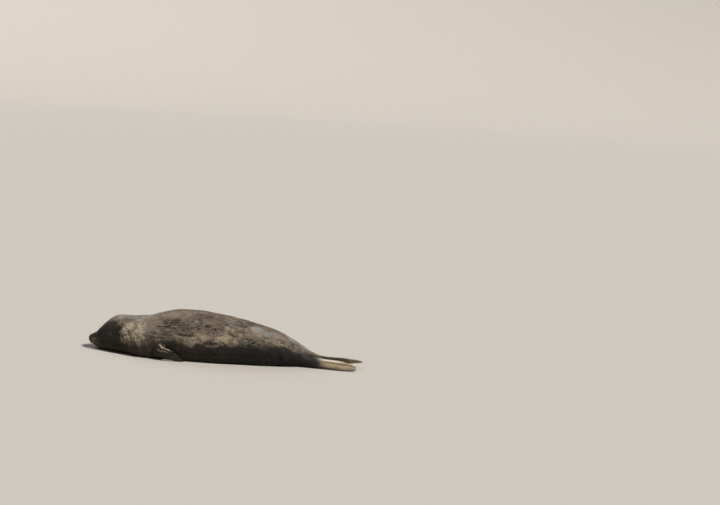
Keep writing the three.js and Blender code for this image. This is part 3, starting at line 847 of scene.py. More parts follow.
def foreHighlight(p, share, across):
    # A fore flipper's painted highlight: along its upper edge, and in a second, fainter stripe
    worn = 0.12 * noise(p, 40, 84)
    upper = smooth(0.70, 0.93, across - 0.30 * smooth(0.6, 0.3, share) + worn) * smooth(0.24, 0.42, share)
    second = hump(across + worn, 0.42, 0.12) * smooth(0.36, 0.50, share) * smooth(0.86, 0.70, share)
    return np.maximum(upper, 0.7 * second)


def hindMarks(p, share, across, blotch):
    # Three marks of a hind flipper: its pale hide, from where it leaves the body on; its palest upper
    # edge, a painted highlight; and painted shade in its furrow and along its lower edge. The far one is
    # painted darker as shade, and is palest along that edge, a painted highlight, and at its tip.
    x, far = p[:, 0], p[:, 1] > 0
    pale = smooth(-50, 60, x + blotch - 2440 - 120 * smooth(0.4, -0.6, across))
    tip = smooth(0.80, 0.95, share + 0.05 * noise(p, 30, 87))
    pale = np.where(far, (0.30 + 0.35 * smooth(0.1, 0.7, across) + 0.35 * tip) * pale, pale)
    ridge = smooth(0.30, 0.62, across) * smooth(2400, 2500, x) * smooth(2760, 2640, x)
    ridge = np.where(far, smooth(0.72, 0.92, across) * 0.6 + 0.4 * tip, ridge)
    hindShade = 0.8 * hump(across, 0.20, 0.13) + 0.8 * smooth(-0.35, -0.92, across)
    return pale, ridge, hindShade


def markings(p, kinds, share, across):
    # The share of each marking at each point of the skin, from 0 to 1
    x = p[:, 0]
    down = degreesDown(p)
    low = np.abs(down)
    flesh = 1 - onFlipper
    fore = (kinds == flipperKind) & (x < body["middle"])
    hind = (kinds == flipperKind) & ~fore
    stretched = p * np.array([0.55, 1, 1])
    newCoat = np.clip(patches(x, down, "newCoat") + 0.32 * rough(stretched, 80, 4, 51), 0, 1) * flesh
    crust = np.clip(patches(x, down, "crust") + 0.30 * rough(stretched, 70, 3, 61), 0, 1) * flesh
    crust = crust * smooth(215, 330, x) * (1 - smooth(2080, 2300, x)) * smooth(112, 95, low)
    tan = np.clip(patches(x, down, "tan") + 0.25 * rough(stretched, 110, 3, 71), 0, 1) * flesh
    blotch = 30 * noise(p * np.array([0.6, 1, 1]), 60, 83)
    # upper and ridge are the painted highlight along the flippers' upper edges, and the lowest edges stay
    # unpale as painted shade
    upper = foreHighlight(p, share, across)
    pale, ridge, hindShade = hindMarks(p, share, across, blotch)
    fin = np.where(fore, 0.85 * upper, pale * hind) * smooth(-1.02, -0.7, across + 0.2 * fore)
    ridge = np.maximum(ridge * hind, 0.55 * upper * fore)
    # Below that line the underside is painted in shade, strongest towards the tail and faint under the neck;
    # a fore flipper is painted in the same shade below its painted highlight.
    begins = np.interp(x, *underside) + 7 * noise(p, 90, 81) + 4 * noise(p, 30, 82)
    under = smooth(begins - 13, begins + 12, low) * smooth(2560, 2400, x + blotch)
    shadeTowardsTail = 0.30 * smooth(800, 1100, x) + 0.70 * smooth(1350, 1750, x)
    shade = np.maximum(deepShade(p, kinds, share, flesh), 0.86 * under * shadeTowardsTail * ~fore)
    under = under * (0.70 + 0.30 * smooth(760, 1080, x + blotch))
    belly = np.where(fore, under + (1 - upper - under) * onFlipper, under)
    gash, lip = creaseAt(p)
    return {
        "newCoat": newCoat, "crust": crust, "tan": tan,
        "dusk": patches(x, down, "dusk") * flesh,
        "straw": patches(x, down, "straw") * flesh,
        "fawn": patches(x, down, "fawn") * flesh,
        # head: the painted shade of the face
        "head": paintedFaceShade(p, low, kinds, share, flesh),
        "belly": np.maximum(belly, hindShade * hind),
        "fin": fin, "ridge": ridge,
        # shade: painted shade, with the dark of the lids' edges; edge: a painted highlight on the lip below
        # each gash
        "shade": np.maximum(shade, 0.95 * smooth(0.2, 0.6, gash) * flesh),
        "edge": 0.9 * lip * flesh * (1 - under),
    }


skinPiece = makeMesh("skin", placed, quads, tris)
skinMarks = markings(straight, kinds, outShare, acrossFin)
for key, values in skinMarks.items():
    setAttribute(skinPiece, key, values)
setMap(skinPiece, unwrapped)
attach(skinPiece, "root")
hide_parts("head", "lower_jaw", "neck", "trunk", "rump", "tail", "left_fore_flipper",
            "right_fore_flipper", "left_hind_flipper", "right_hind_flipper")
print("skin made")


# Shader expressions
class Value:
    def __init__(self, finish, socket):
        self.finish, self.socket = finish, socket

    def __add__(self, other):
        return self.finish.math("ADD", self, other)

    def __radd__(self, other):
        return self.finish.math("ADD", other, self)

    def __sub__(self, other):
        return self.finish.math("SUBTRACT", self, other)

    def __rsub__(self, other):
        return self.finish.math("SUBTRACT", other, self)

    def __mul__(self, other):
        return self.finish.math("MULTIPLY", self, other)

    def __rmul__(self, other):
        return self.finish.math("MULTIPLY", other, self)


class Finish:
    def __init__(self, name):
        self.material = bpy.data.materials.new(name)
        self.material.use_nodes = True
        self.tree = self.material.node_tree
        self.tree.nodes.clear()
        self.shader = self.tree.nodes.new("ShaderNodeBsdfPrincipled")
        output = self.tree.nodes.new("ShaderNodeOutputMaterial")
        self.tree.links.new(self.shader.outputs[0], output.inputs[0])

    def make(self, kind, settings, inputs, output=0):
        # A node of one kind, its settings, and then the values or the links of its sockets
        node = self.tree.nodes.new("ShaderNode" + kind)
        for key, value in settings.items():
            setattr(node, key, value)
        for key, value in inputs.items():
            self.feed(node.inputs[key], value)
        return Value(self, node.outputs[output])

    def feed(self, socket, value):
        if isinstance(value, Value):
            self.tree.links.new(value.socket, socket)
        elif socket.type == "RGBA":
            socket.default_value = (*value, 1)
        else:
            socket.default_value = value

    def math(self, operation, a, b):
        return self.make("Math", {"operation": operation}, {0: a, 1: b})

    def place(self, scale=(1, 1, 1), shift=(0, 0, 0)):
        at = self.make("TexCoord", {}, {}, "Object")
        return self.make("Mapping", {}, {"Vector": at, "Scale": scale, "Location": shift})

    def noise(self, at, scale, detail=3.0, roughness=0.55, distortion=0.0, output=0):
        return self.make("TexNoise", {}, {"Vector": at, "Scale": scale, "Detail": detail,
                                          "Roughness": roughness, "Distortion": distortion}, output)

    def bent(self, at, scale, amount):
        # A place plus the colour of noise times an amount, so that the cells on it have bent walls
        wander = self.noise(self.place(), scale, 2.0, output=1)
        return self.make("VectorMath", {"operation": "MULTIPLY_ADD"}, {0: wander, 1: (amount,) * 3, 2: at})

    def cells(self, at, feature="F1"):
        return self.make("TexVoronoi", {"feature": feature}, {"Vector": at, "Scale": 1.0}, "Distance")

    def attribute(self, name):
        return self.make("Attribute", {"attribute_name": name}, {}, "Fac")

    def step(self, value, low, high):
        # 0 below low, 1 above high, and a smoothstep between
        return self.make("MapRange", {"interpolation_type": "SMOOTHSTEP"},
                         {"Value": value, "From Min": low, "From Max": high})

    def blend(self, factor, a, b):
        return self.make("Mix", {"data_type": "RGBA"}, {0: factor, 6: a, 7: b}, output=2)

    def bump(self, height, distance, strength):
        return self.make("Bump", {}, {"Height": height, "Distance": distance, "Strength": strength})

    def set(self, **values):
        for key, value in values.items():
            self.feed(self.shader.inputs[key.replace("_", " ")], value)
        return self.material


hide = {
    "brownDark": (0.066, 0.049, 0.035), "brown": (0.176, 0.133, 0.099), "brownPale": (0.276, 0.220, 0.166),
    "tanDark": (0.100, 0.078, 0.053), "tan": (0.375, 0.314, 0.224), "straw": (0.560, 0.480, 0.365),
    "fawn": (0.282, 0.229, 0.176),
    "greyDark": (0.122, 0.109, 0.094), "grey": (0.244, 0.224, 0.202), "greyPale": (0.372, 0.345, 0.314),
    # The two face colours are the painted shade of the face
    "faceShadeDark": (0.019, 0.016, 0.013), "face": (0.040, 0.033, 0.027),
    # Below: the dark of slits and cracks, partly darker skin and partly painted shade; pale flecks and the
    # painted highlight on rims and lips; and painted shade
    "crackDarkAndShade": (0.020, 0.016, 0.012), "paleFleckAndHighlight": (0.430, 0.366, 0.272), "shadeDeep": (0.009, 0.007, 0.006),
    # finHighlight is the painted highlight along the flippers' upper edges
    "finDark": (0.210, 0.160, 0.102), "finPale": (0.375, 0.296, 0.190), "finHighlight": (0.600, 0.550, 0.470),
    # The painted shade of the underside and of the flippers' furrows and lower edges
    "bellyDark": (0.018, 0.015, 0.011), "belly": (0.038, 0.031, 0.023),
    # The pale rim below each slit is a painted highlight
    "highlightDrop": 0.48,    # how far the pale rim lies below its slit, in the slits' own units of 1/60 m
    "bump": 0.012,
}


def hideFinish():
    f = Finish("hide")
    at = f.place()
    newCoat, crust, tanShare = f.attribute("newCoat"), f.attribute("crust"), f.attribute("tan")
    dusk, fawn, straw, ridge = (f.attribute(k) for k in ("dusk", "fawn", "straw", "ridge"))
    shade, head, fin, belly = (f.attribute(k) for k in ("shade", "head", "fin", "belly"))
    large = f.noise(at, 5.0, 3.0)
    medium = f.noise(f.place((16, 26, 26)), 1.0, 5.0, 0.62, 0.4)
    fine = f.noise(f.place((80, 130, 130)), 1.0, 4.0, 0.6)
    speck = f.noise(at, 420.0, 3.0, 0.65)
    mottle = f.noise(f.place((18, 48, 48)), 1.0, 3.0, 0.6, 0.3)
    streak = f.noise(f.place((55, 330, 330)), 1.0, 4.0, 0.6, 0.6)

    # Old brown coat, in blotches a hand wide and streaks along the hair, tan on the flanks
    tone = 0.4 * large + 0.38 * medium + 0.22 * fine
    brown = f.blend(f.step(tone, 0.42, 0.52), hide["brownDark"], hide["brown"])
    brown = f.blend(f.step(tone + 0.2 * (streak - 0.5), 0.50, 0.62), brown, hide["brownPale"])
    brown = f.blend(f.step(fawn + 0.6 * (medium - 0.5), 0.25, 0.75) * 0.8, brown, hide["fawn"])
    sandy = f.blend(f.step(tone + 0.2 * (streak - 0.5), 0.42, 0.56), hide["tanDark"], hide["tan"])
    coat = f.blend(f.step(tanShare + 0.4 * (medium - 0.5), 0.30, 0.62), brown, sandy)
    coat = f.blend(f.step(straw + 0.5 * (medium - 0.5), 0.25, 0.75), coat, hide["straw"])
    # The face's painted shade, near black, over the head mark
    dark = f.blend(f.step(tone, 0.42, 0.58), hide["faceShadeDark"], hide["face"])
    coat = f.blend(f.step(head + 0.3 * (medium - 0.5), 0.25, 0.75), coat, dark)
    # New grey coat
    grey = f.blend(f.step(medium * 0.5 + fine * 0.5, 0.40, 0.60), hide["greyDark"], hide["grey"])
    grey = f.blend(f.step(streak * 0.6 + large * 0.4, 0.46, 0.60), grey, hide["greyPale"])
    isNew = f.step(newCoat + 0.55 * (medium - 0.5) + 0.35 * (fine - 0.5), 0.30, 0.66)
    coat = f.blend(isNew, coat, grey)
    coat = f.blend(f.step(dusk + 0.5 * (medium - 0.5), 0.25, 0.75) * 0.62, coat, hide["brownDark"])
    # Dark and pale locks, two fingers wide, where the coat is tan
    locks = f.step(tanShare + straw + 0.6 * crust, 0.2, 0.8) * (1 - head)
    coat = f.blend((1 - f.step(mottle, 0.36, 0.47)) * 0.55 * locks, coat, hide["brownDark"])
    coat = f.blend(f.step(mottle, 0.54, 0.66) * 0.30 * locks, coat, hide["straw"])
    # The underside's painted shade, over the belly mark
    under = f.blend(f.step(tone, 0.44, 0.56), hide["bellyDark"], hide["belly"])
    coat = f.blend(f.step(belly + 0.3 * (medium - 0.5), 0.2, 0.8), coat, under)

    def slits(shift):
        long = f.noise(f.place((15, 60, 60), (0, 0, shift)), 1.0, 2.0, 0.55, 0.35)
        return 1 - f.step(long, 0.415, 0.455)

    # Torn old coat: dark slits along the body, partly darker skin in the gap and partly painted shadow,
    # and below each of them a painted highlight on the rim that it lifts, which is the same slit moved
    # down by 8 mm, less the slit itself
    torn = f.step(crust + 0.6 * (medium - 0.5), 0.38, 0.62)
    slit, slitAbove = slits(0.0), slits(hide["highlightDrop"])
    crackDarkAndShade = torn * slit
    rim = torn * slitAbove * (1 - slit)
    walls = f.cells(f.bent(f.place((34, 60, 60)), 60.0, 0.7), "DISTANCE_TO_EDGE")
    crackle = (1 - f.step(walls, 0.02, 0.14)) * f.step(crust + 0.6 * (fine - 0.5), 0.30, 0.62)
    # The neck is pitted with dark spots a finger wide
    pits = 1 - f.step(f.cells(f.bent(f.place((26, 40, 40)), 40.0, 0.8)), 0.20, 0.36)
    pits = pits * f.step(straw + 0.5 * (medium - 0.5), 0.25, 0.6)
    # cracks: the dark of the slits, the cell walls and the pits, partly darker skin and partly painted shade
    cracks = f.math("MAXIMUM", f.math("MAXIMUM", crackDarkAndShade, 0.22 * crackle), 0.8 * pits)
    fleck = f.step(fine * 0.5 + speck * 0.5, 0.545, 0.61) * torn
    coat = f.blend(f.math("MAXIMUM", 0.70 * rim, 0.35 * fleck), coat, hide["paleFleckAndHighlight"])
    coat = f.blend(cracks * 0.85, coat, hide["crackDarkAndShade"])
    # The pale lips below the gashes and the flakes' rims are painted highlight
    coat = f.blend(f.step(f.attribute("edge") + 0.8 * (fine - 0.5), 0.35, 0.95) * 0.62, coat, hide["paleFleckAndHighlight"])

    # Flippers: golden tan, with a painted highlight along the upper edges and painted shade in the furrow
    # and along the lower edges
    finTone = medium * 0.55 + streak * 0.45
    finColour = f.blend(f.step(finTone, 0.38, 0.56), hide["finDark"], hide["finPale"])
    finColour = f.blend(ridge, finColour, hide["finHighlight"])
    coat = f.blend(fin, coat, finColour)
    coat = f.blend(fin * belly * 0.85, coat, hide["bellyDark"])
    coat = f.blend(f.step(speck, 0.35, 0.7) * 0.22, coat, hide["brownDark"])
    # Painted shade: the mouth line, the nostrils, the sockets, the gashes, the flakes' gaps and the
    # underside, and the dark of the lids' edges
    coat = f.blend(shade, coat, hide["shadeDeep"])

    hair = f.noise(f.place((75, 620, 620)), 1.0, 3.0, 0.6, 0.4)
    height = (0.30 * medium + 0.22 * mottle + 0.16 * fine + 0.08 * streak + 0.05 * hair - 0.50 * cracks
              + 0.30 * rim + 0.10 * fleck)
    gloss = 0.64 + 0.2 * (medium - 0.5) + 0.15 * cracks - 0.14 * isNew
    return f.set(Base_Color=coat, Roughness=gloss, Normal=f.bump(height, hide["bump"], 0.8),
                 Specular_IOR_Level=0.25, Sheen_Weight=0.03, Sheen_Roughness=0.5)


hideMaterial = hideFinish()
skinPiece.data.materials.append(hideMaterial)
print("hide painted")


# Eyes
ball = {"iris": 19.5, "pupil": 9.0, "bulge": 1.3, "gap": 0.4, "rings": 34, "sides": 48}


def makeEye(name, side, node):
    # Rings from the front of the ball to its back: centre + radius * (sin polar * (cos around * level
    # + sin around * rise) + cos polar * facing). The cornea swells a little over the iris.
    centre = np.array(eye["centre"])
    facing, level, rise = eyeAxes(0.0)
    sides = ball["sides"]
    polar = np.linspace(0, np.pi, ball["rings"] + 1)[1:-1]
    around = np.arange(sides) / sides * 2 * np.pi
    radius = eye["radius"] - ball["gap"] + ball["bulge"] * (1 - smooth(0.35, 0.75, polar))
    spoke = np.cos(around)[:, None] * level + np.sin(around)[:, None] * rise
    direction = np.sin(polar)[:, None, None] * spoke + np.cos(polar)[:, None, None] * facing
    rows = centre + radius[:, None, None] * direction
    back = centre - facing * (eye["radius"] - ball["gap"])
    tips = np.stack([centre + facing * (radius[0] + 0.02), back])
    p = np.concatenate([rows.reshape(-1, 3), tips]) * np.array([1, side, 1])
    index = np.arange(len(rows) * sides).reshape(len(rows), sides)
    a, b = index[:-1], index[1:]
    q = np.stack([a, np.roll(a, -1, 1), np.roll(b, -1, 1), b], -1).reshape(-1, 4)
    front = np.stack([np.roll(index[0], -1), index[0], np.full(sides, len(p) - 2)], 1)
    backFan = np.stack([index[-1], np.roll(index[-1], -1), np.full(sides, len(p) - 1)], 1)
    t = np.concatenate([front, backFan])
    middle = centre * np.array([1, side, 1])
    outward = (faceNormals(p, q, t)[0] * (p[q].mean(1) - middle)).sum()
    if outward < 0:
        q, t = q[:, ::-1], t[:, ::-1]
    piece = makeMesh(name, toFrame(p), q, t)
    off = np.concatenate([np.repeat(np.sin(polar) * eye["radius"], sides), [0, 0]])
    off = np.where(np.concatenate([np.repeat(polar, sides), [0, np.pi]]) > np.pi / 2, 60, off)
    setAttribute(piece, "off", off)
    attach(piece, "root")
    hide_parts(node)
    return piece


def eyeFinish():
    f = Finish("eye")
    off = f.attribute("off")
    grain = f.noise(f.place(), 900.0, 3.0)
    iris = f.blend(f.step(grain, 0.35, 0.65), (0.012, 0.007, 0.004), (0.035, 0.020, 0.011))
    colour = f.blend(f.step(off, ball["pupil"] - 0.6, ball["pupil"] + 0.6), (0.002, 0.002, 0.002), iris)
    colour = f.blend(f.step(off, ball["iris"] - 1.2, ball["iris"] + 1.5), colour, (0.030, 0.018, 0.014))
    return f.set(Base_Color=colour, Roughness=0.05, Coat_Weight=1.0, Coat_Roughness=0.02)


eyeMaterial = eyeFinish()
for name, side, node in (("rightEye", 1, "right_eye"), ("leftEye", -1, "left_eye")):
    makeEye(name, side, node).data.materials.append(eyeMaterial)
print("eyes made")


# Places on the skin for what grows from it
corner3 = np.concatenate([quads[:, [0, 1, 2]], quads[:, [0, 2, 3]], tris])
placedNormals = pointNormals(placed)
ahead = toFrame(straight + lie) - placed
corner3Area = np.linalg.norm(np.cross(placed[corner3[:, 1]] - placed[corner3[:, 0]],
                                      placed[corner3[:, 2]] - placed[corner3[:, 0]]), axis=1) / 2


def scatter(count, density, rng):
    # Random places on the skin's triangles, as many per area as density says, with the normal,
    # the lie of the hair, the place on the straight body, on the unwrapped skin, and the markings
    chance = corner3Area * density[corner3].mean(1)
    total = np.cumsum(chance)
    pick = corner3[np.searchsorted(total, rng.random(count) * total[-1])]
    a, b = np.sqrt(rng.random(count)), rng.random(count)
    share = np.stack([1 - a, a * (1 - b), a * b], 1)

    def at(values):
        values = values.reshape(len(values), -1)
        return (values[pick] * share[:, :, None]).sum(1)

    normal = at(placedNormals)
    normal /= np.linalg.norm(normal, axis=1, keepdims=True)
    flow = at(ahead)
    flow -= (flow * normal).sum(1, keepdims=True) * normal
    flow /= np.maximum(np.linalg.norm(flow, axis=1, keepdims=True), 1e-9)
    return {"at": at(placed), "normal": normal, "flow": flow, "across": np.cross(normal, flow),
            "straight": at(straight), "map": at(unwrapped), "onFlipper": at(onFlipper)[:, 0],
            "marks": {key: at(values)[:, 0] for key, values in skinMarks.items()}}


def turned(spots, angle):
    # The lie of the hair, turned by an angle about the normal, and the direction across it
    c, s = np.cos(angle)[:, None], np.sin(angle)[:, None]
    return spots["flow"] * c + spots["across"] * s, spots["across"] * c - spots["flow"] * s


def grown(name, points, faces, spots, patch, **more):
    # One mesh of many like pieces: each has its points, and their patch on the unwrapped skin
    perSpot = len(patch)
    index = (np.arange(len(spots["at"]))[:, None, None] * perSpot + faces[None]).reshape(-1, faces.shape[1])
    if faces.shape[1] == 4:
        piece = makeMesh(name, points.reshape(-1, 3), index)
    else:
        piece = makeMesh(name, points.reshape(-1, 3), np.zeros((0, 4), int), index)
    for key, values in spots["marks"].items():
        setAttribute(piece, key, np.repeat(more.get(key, values), perSpot))
    setMap(piece, (spots["map"][:, None, :] + patch[None]).reshape(-1, 2))
    piece.data.materials.append(hideMaterial)
    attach(piece, "root")
    return piece


# Coat: flat tufts of four faces, a sunken root edge, a raised ridge and a tip
coat = {
    "head": {"seed": 11, "count": 48000, "length": (4.5, 9.0), "width": 0.30},
    "neck": {"seed": 12, "count": 45000, "length": (11.0, 15.0), "width": 0.24},
    "leftFlank": {"seed": 13, "count": 45000, "length": (15.0, 18.0), "width": 0.24},
    "rightFlank": {"seed": 14, "count": 45000, "length": (15.0, 18.0), "width": 0.24},
    "back": {"seed": 15, "count": 45000, "length": (15.0, 18.0), "width": 0.24},
    "rump": {"seed": 16, "count": 38000, "length": (10.0, 15.0), "width": 0.24},
    "flippers": {"seed": 17, "count": 34000, "length": (5.0, 14.0), "width": 0.28},
}
tuft = {
    "faces": np.array([[0, 1, 2], [1, 3, 2], [3, 0, 2], [0, 3, 1]]),
    "patch": np.array([[-1, -1], [1, -1], [0, -0.2], [0, 1]]) * 0.0015,
    "lengths": (0.75, 1.2), "widths": (0.8, 1.25),  # shares of the plan's length and width
    "newShorter": 0.35,         # how much shorter new coat is
    "turn": (0.16, 0.35),       # spread of the lie, in radians, and what torn coat adds to it
    "rise": (0.05, 0.09),       # height of the ridge as a share of the length
    "tip": (0.03, 0.09, 0.10),  # height of the tip, least and most, and what torn coat adds to it
    "ridgeAt": 0.38,
    "sunk": 0.8, "leastRise": 0.2, "floorGap": 0.8,     # mm
}


def coatRegions():
    # Where each piece of coat grows: shares of the skin that add up to 1, less the bare places
    x, low = straight[:, 0], straight[:, 2]
    down = degreesDown(straight)
    flesh = onBody * smooth(4, 12, low)
    trunk = flesh * smooth(700, 720, x) * smooth(2010, 1990, x)
    nose = np.clip(segmentDistance(asRight(straight), *face["nostril"]) / 9 - 0.5, 0, 1)
    isHead = x < 320
    bare = 1 - smooth(0.3, 0.7, skinMarks["shade"])
    return {
        "head": (flesh * nose + (kinds == lidKind) * smooth(0.9, 0.7, outShare)) * isHead * bare,
        "neck": flesh * ~isHead * smooth(720, 700, x),
        "leftFlank": trunk * (down < -42), "rightFlank": trunk * (down > 42),
        "back": trunk * (np.abs(down) <= 42),
        "rump": flesh * smooth(1990, 2010, x),
        "flippers": onFin * smooth(2, 9, low),
    }


def makeCoat(name, plan, density):
    # A tuft is as long as its plan's two lengths, mixed by the place, and its tip stands out where
    # the old coat is torn: root - half, root + half, root + 0.38 length + rise, root + length + tip
    rng = np.random.default_rng(plan["seed"])
    count = plan["count"]
    spots = scatter(count, density, rng)
    short, long = plan["length"]
    mix = smooth(40, 320, spots["straight"][:, 0]) if name == "head" else rng.random(count)
    if name == "flippers":
        mix = 1 - spots["onFlipper"]
    length = (short + (long - short) * mix) * rng.uniform(*tuft["lengths"], count)
    length = length * (1 - tuft["newShorter"] * smooth(0.4, 0.6, spots["marks"]["newCoat"])) * mm
    torn = spots["marks"]["crust"]
    width = length * plan["width"] * rng.uniform(*tuft["widths"], count)
    spread, tornSpread = tuft["turn"]
    along, across = turned(spots, rng.normal(0, spread + tornSpread * torn, count))
    rise = length * rng.uniform(*tuft["rise"], count) + tuft["leastRise"] * mm
    lowTip, highTip, tornTip = tuft["tip"]
    tip = length * (rng.uniform(lowTip, highTip, count) + tornTip * torn * rng.random(count))
    root, normal = spots["at"] - spots["normal"] * tuft["sunk"] * mm, spots["normal"]
    half = across * (width / 2)[:, None]
    ridge = spots["at"] + along * (tuft["ridgeAt"] * length)[:, None] + normal * rise[:, None]
    end = spots["at"] + along * length[:, None] + normal * tip[:, None]
    points = np.stack([root - half, root + half, ridge, end], 1)
    points[:, :, 2] = np.maximum(points[:, :, 2], tuft["floorGap"] * mm)
    return grown(name + "Coat", points, tuft["faces"], spots, tuft["patch"])


regions = coatRegions()
for name, plan in coat.items():
    makeCoat(name, plan, regions[name])
print("coat grown:", sum(4 * plan["count"] for plan in coat.values()), "triangles")


# Scabs: flakes of old coat, fast along one side and lifted along the other, each with a painted
# highlight on its free edge and the dark gap beside it, partly darker skin and partly painted shadow.
# No two of a kind stand in the same cell of the spacing.
scabs = {
    "large": {"seed": 21, "count": 300, "length": (26, 74), "lift": (1.0, 2.8), "rows": 9, "spacing": 42},
    "small": {"seed": 22, "count": 1300, "length": (11, 26), "lift": (0.6, 1.7), "rows": 5, "spacing": 18},
}
flake = {
    "thickness": 0.9, "sunk": 1.2, "floorGap": 1.0,     # mm
    "widths": (0.22, 0.46),     # shares of the length
    "jag": 0.15, "bend": 0.22, "uneven": 0.06, "turn": 0.28,    # spreads of the random draws
    "curve": 0.56,              # twice the radius of the body's curve, in metres
    "freeAbove": 0.75,          # the share of the flakes whose free edge is the upper one
    "patch": 0.0015,
}
# Across a scab, from its fast side over its free edge to the far side of the gap: the place, the share
# of the lift, the height above the skin, how pale the rim is, as painted highlight, and how dark the
# gap, as darker skin and painted shadow
scabProfile = np.array([
    (-1.00, 0.00, -0.0015, 0.0, 0.00),
    (-0.50, 0.25, 0.0007, 0.0, 0.00),
    (0.00, 0.75, 0.0010, 0.1, 0.00),
    (0.22, 1.00, 0.0013, 0.8, 0.00),
    (0.29, 0.00, 0.0016, 0.0, 0.90),
    (1.00, 0.00, 0.0001, 0.0, 0.55),
]).T
freeEdge, gapStart = 3, 4   # the two rows of the profile between which the lifted edge falls off


def plateFaces(rows, columns):
    # The faces of a closed plate: its top, its underside, and the edge between them
    n = rows * columns
    at = np.arange(n).reshape(rows, columns)
    a, b, c, d = at[:-1, :-1], at[1:, :-1], at[1:, 1:], at[:-1, 1:]
    top = np.stack([a, b, c, d], -1).reshape(-1, 4)
    rim = np.concatenate([at[0, :-1], at[:-1, -1], at[-1, :0:-1], at[:0:-1, 0]])
    following = np.roll(rim, -1)
    edge = np.stack([rim, following, following + n, rim + n], 1)
    return np.concatenate([top, top[:, ::-1] + n, edge])


def scabSpots(plan, rng):
    # Places on torn coat, the first that falls in each cell of the spacing
    low = np.abs(degreesDown(straight))
    density = smooth(0.32, 0.62, skinMarks["crust"]) * onBody * (straight[:, 2] > 60)
    density = density * (0.12 + 0.88 * smooth(12, 34, low)) * smooth(700, 790, straight[:, 0])
    spots = scatter(5 * plan["count"], density, rng)
    first = np.unique(np.floor(spots["straight"] / plan["spacing"]), axis=0, return_index=True)[1]
    keep = np.sort(first)[:plan["count"]]
    marks = {key: values[keep] for key, values in spots.pop("marks").items()}
    return {**{key: values[keep] for key, values in spots.items()}, "marks": marks}


def makeScabs(name, plan):
    # height = (share of the lift * lift + the profile's height) faded out to the ends, less the fall
    # of the body's curve
    rng = np.random.default_rng(plan["seed"])
    spots = scabSpots(plan, rng)
    count = len(spots["at"])
    place, share, height, pale, dark = scabProfile
    rows, columns = plan["rows"], len(place)
    u = np.linspace(-1, 1, rows)[None, :, None]
    many, whole = (count, 1, 1), (count, rows, columns)
    length = rng.uniform(*plan["length"], many) * mm
    width = length * rng.uniform(*flake["widths"], many)
    lift = rng.uniform(*plan["lift"], many) * mm
    jag = rng.normal(0, flake["jag"], whole) * (place > -0.6)
    jag[:, :, gapStart] = jag[:, :, freeEdge]
    bend = rng.normal(0, flake["bend"], many) * (1 - u * u)
    alongPlace = length / 2 * (u + flake["uneven"] * rng.normal(0, 1, whole))
    acrossPlace = width / 2 * ((place + jag) * (1 - 0.85 * np.abs(u) ** 3) + bend)
    shown = 1 - np.abs(u) ** 4
    sunk = flake["sunk"] * mm
    raised = (share * lift * rng.uniform(0.6, 1.2, (count, rows, 1)) + height + sunk) * shown - sunk
    raised = raised - acrossPlace ** 2 / flake["curve"]
    along, across = turned(spots, rng.normal(0, flake["turn"], count))
    chances = [1 - flake["freeAbove"], flake["freeAbove"]]
    free = rng.choice([1.0, -1.0], count, p=chances) * np.sign(spots["straight"][:, 1])
    along, across = along * free[:, None], across * free[:, None]
    centre, normal = spots["at"][:, None, None], spots["normal"][:, None, None]
    grid = (centre + along[:, None, None] * alongPlace[..., None]
            + across[:, None, None] * acrossPlace[..., None] + normal * raised[..., None])
    under = grid - normal * flake["thickness"] * mm
    points = np.concatenate([grid.reshape(count, -1, 3), under.reshape(count, -1, 3)], 1)
    points[:, :, 2] = np.maximum(points[:, :, 2], flake["floorGap"] * mm)
    flat = np.stack([u + 0 * place, place + 0 * u], -1).reshape(-1, 2) * flake["patch"]
    patch = np.concatenate([flat, flat])
    piece = grown(name + "Scabs", points, plateFaces(rows, columns), spots, patch,
                  newCoat=0.6 * spots["marks"]["newCoat"])
    # The top and the underside of a flake carry the same two marks: the rim's painted highlight and the
    # gap's painted shadow
    bothSides = np.zeros((count, 2, rows, columns))
    setAttribute(piece, "edge", (pale * shown + bothSides).ravel())
    shade = np.maximum(dark * shown, spots["marks"]["shade"][:, None, None, None]) + bothSides
    setAttribute(piece, "shade", shade.ravel())
    print(name, "scabs:", count)


for name, plan in scabs.items():
    makeScabs(name, plan)


# Tubes that taper along a path, for whiskers and claws
def taperedTubes(paths, radii, sides, flat=1.0):
    # paths: tubes x stations x 3. A ring of points stands square to the path at each station, and one
    # point on the path closes each end.
    along = np.gradient(paths, axis=1)
    along /= np.linalg.norm(along, axis=2, keepdims=True)
    side = np.cross(along, np.array([0.13, 0.21, 0.97]))
    side /= np.linalg.norm(side, axis=2, keepdims=True)
    up = np.cross(side, along)
    around = np.arange(sides) / sides * 2 * np.pi
    ring = np.cos(around)[:, None] * side[:, :, None] + flat * np.sin(around)[:, None] * up[:, :, None]
    rings = paths[:, :, None] + ring * radii[:, :, None, None]
    count, stations = paths.shape[:2]
    points = np.concatenate([rings.reshape(count, -1, 3), paths[:, :1], paths[:, -1:]], 1)
    at = np.arange(stations * sides).reshape(stations, sides)
    nextAt = np.roll(at, -1, 1)
    quad = np.stack([at[:-1], at[1:], nextAt[1:], nextAt[:-1]], -1).reshape(-1, 4)
    first, last = stations * sides, stations * sides + 1
    tri = np.concatenate([np.stack([at[0], nextAt[0], np.full(sides, first)], 1),
                          np.stack([nextAt[-1], at[-1], np.full(sides, last)], 1)])
    start = np.arange(count)[:, None, None] * points.shape[1]
    return points.reshape(-1, 3), (quad[None] + start).reshape(-1, 4), (tri[None] + start).reshape(-1, 3)


def outwards(points, quadFaces, triFaces, centres):
    # Turns the faces round if they point towards their centres
    facing = (faceNormals(points, quadFaces, triFaces)[0] * (points[quadFaces].mean(1) - centres)).sum()
    return (quadFaces, triFaces) if facing > 0 else (quadFaces[:, ::-1], triFaces[:, ::-1])


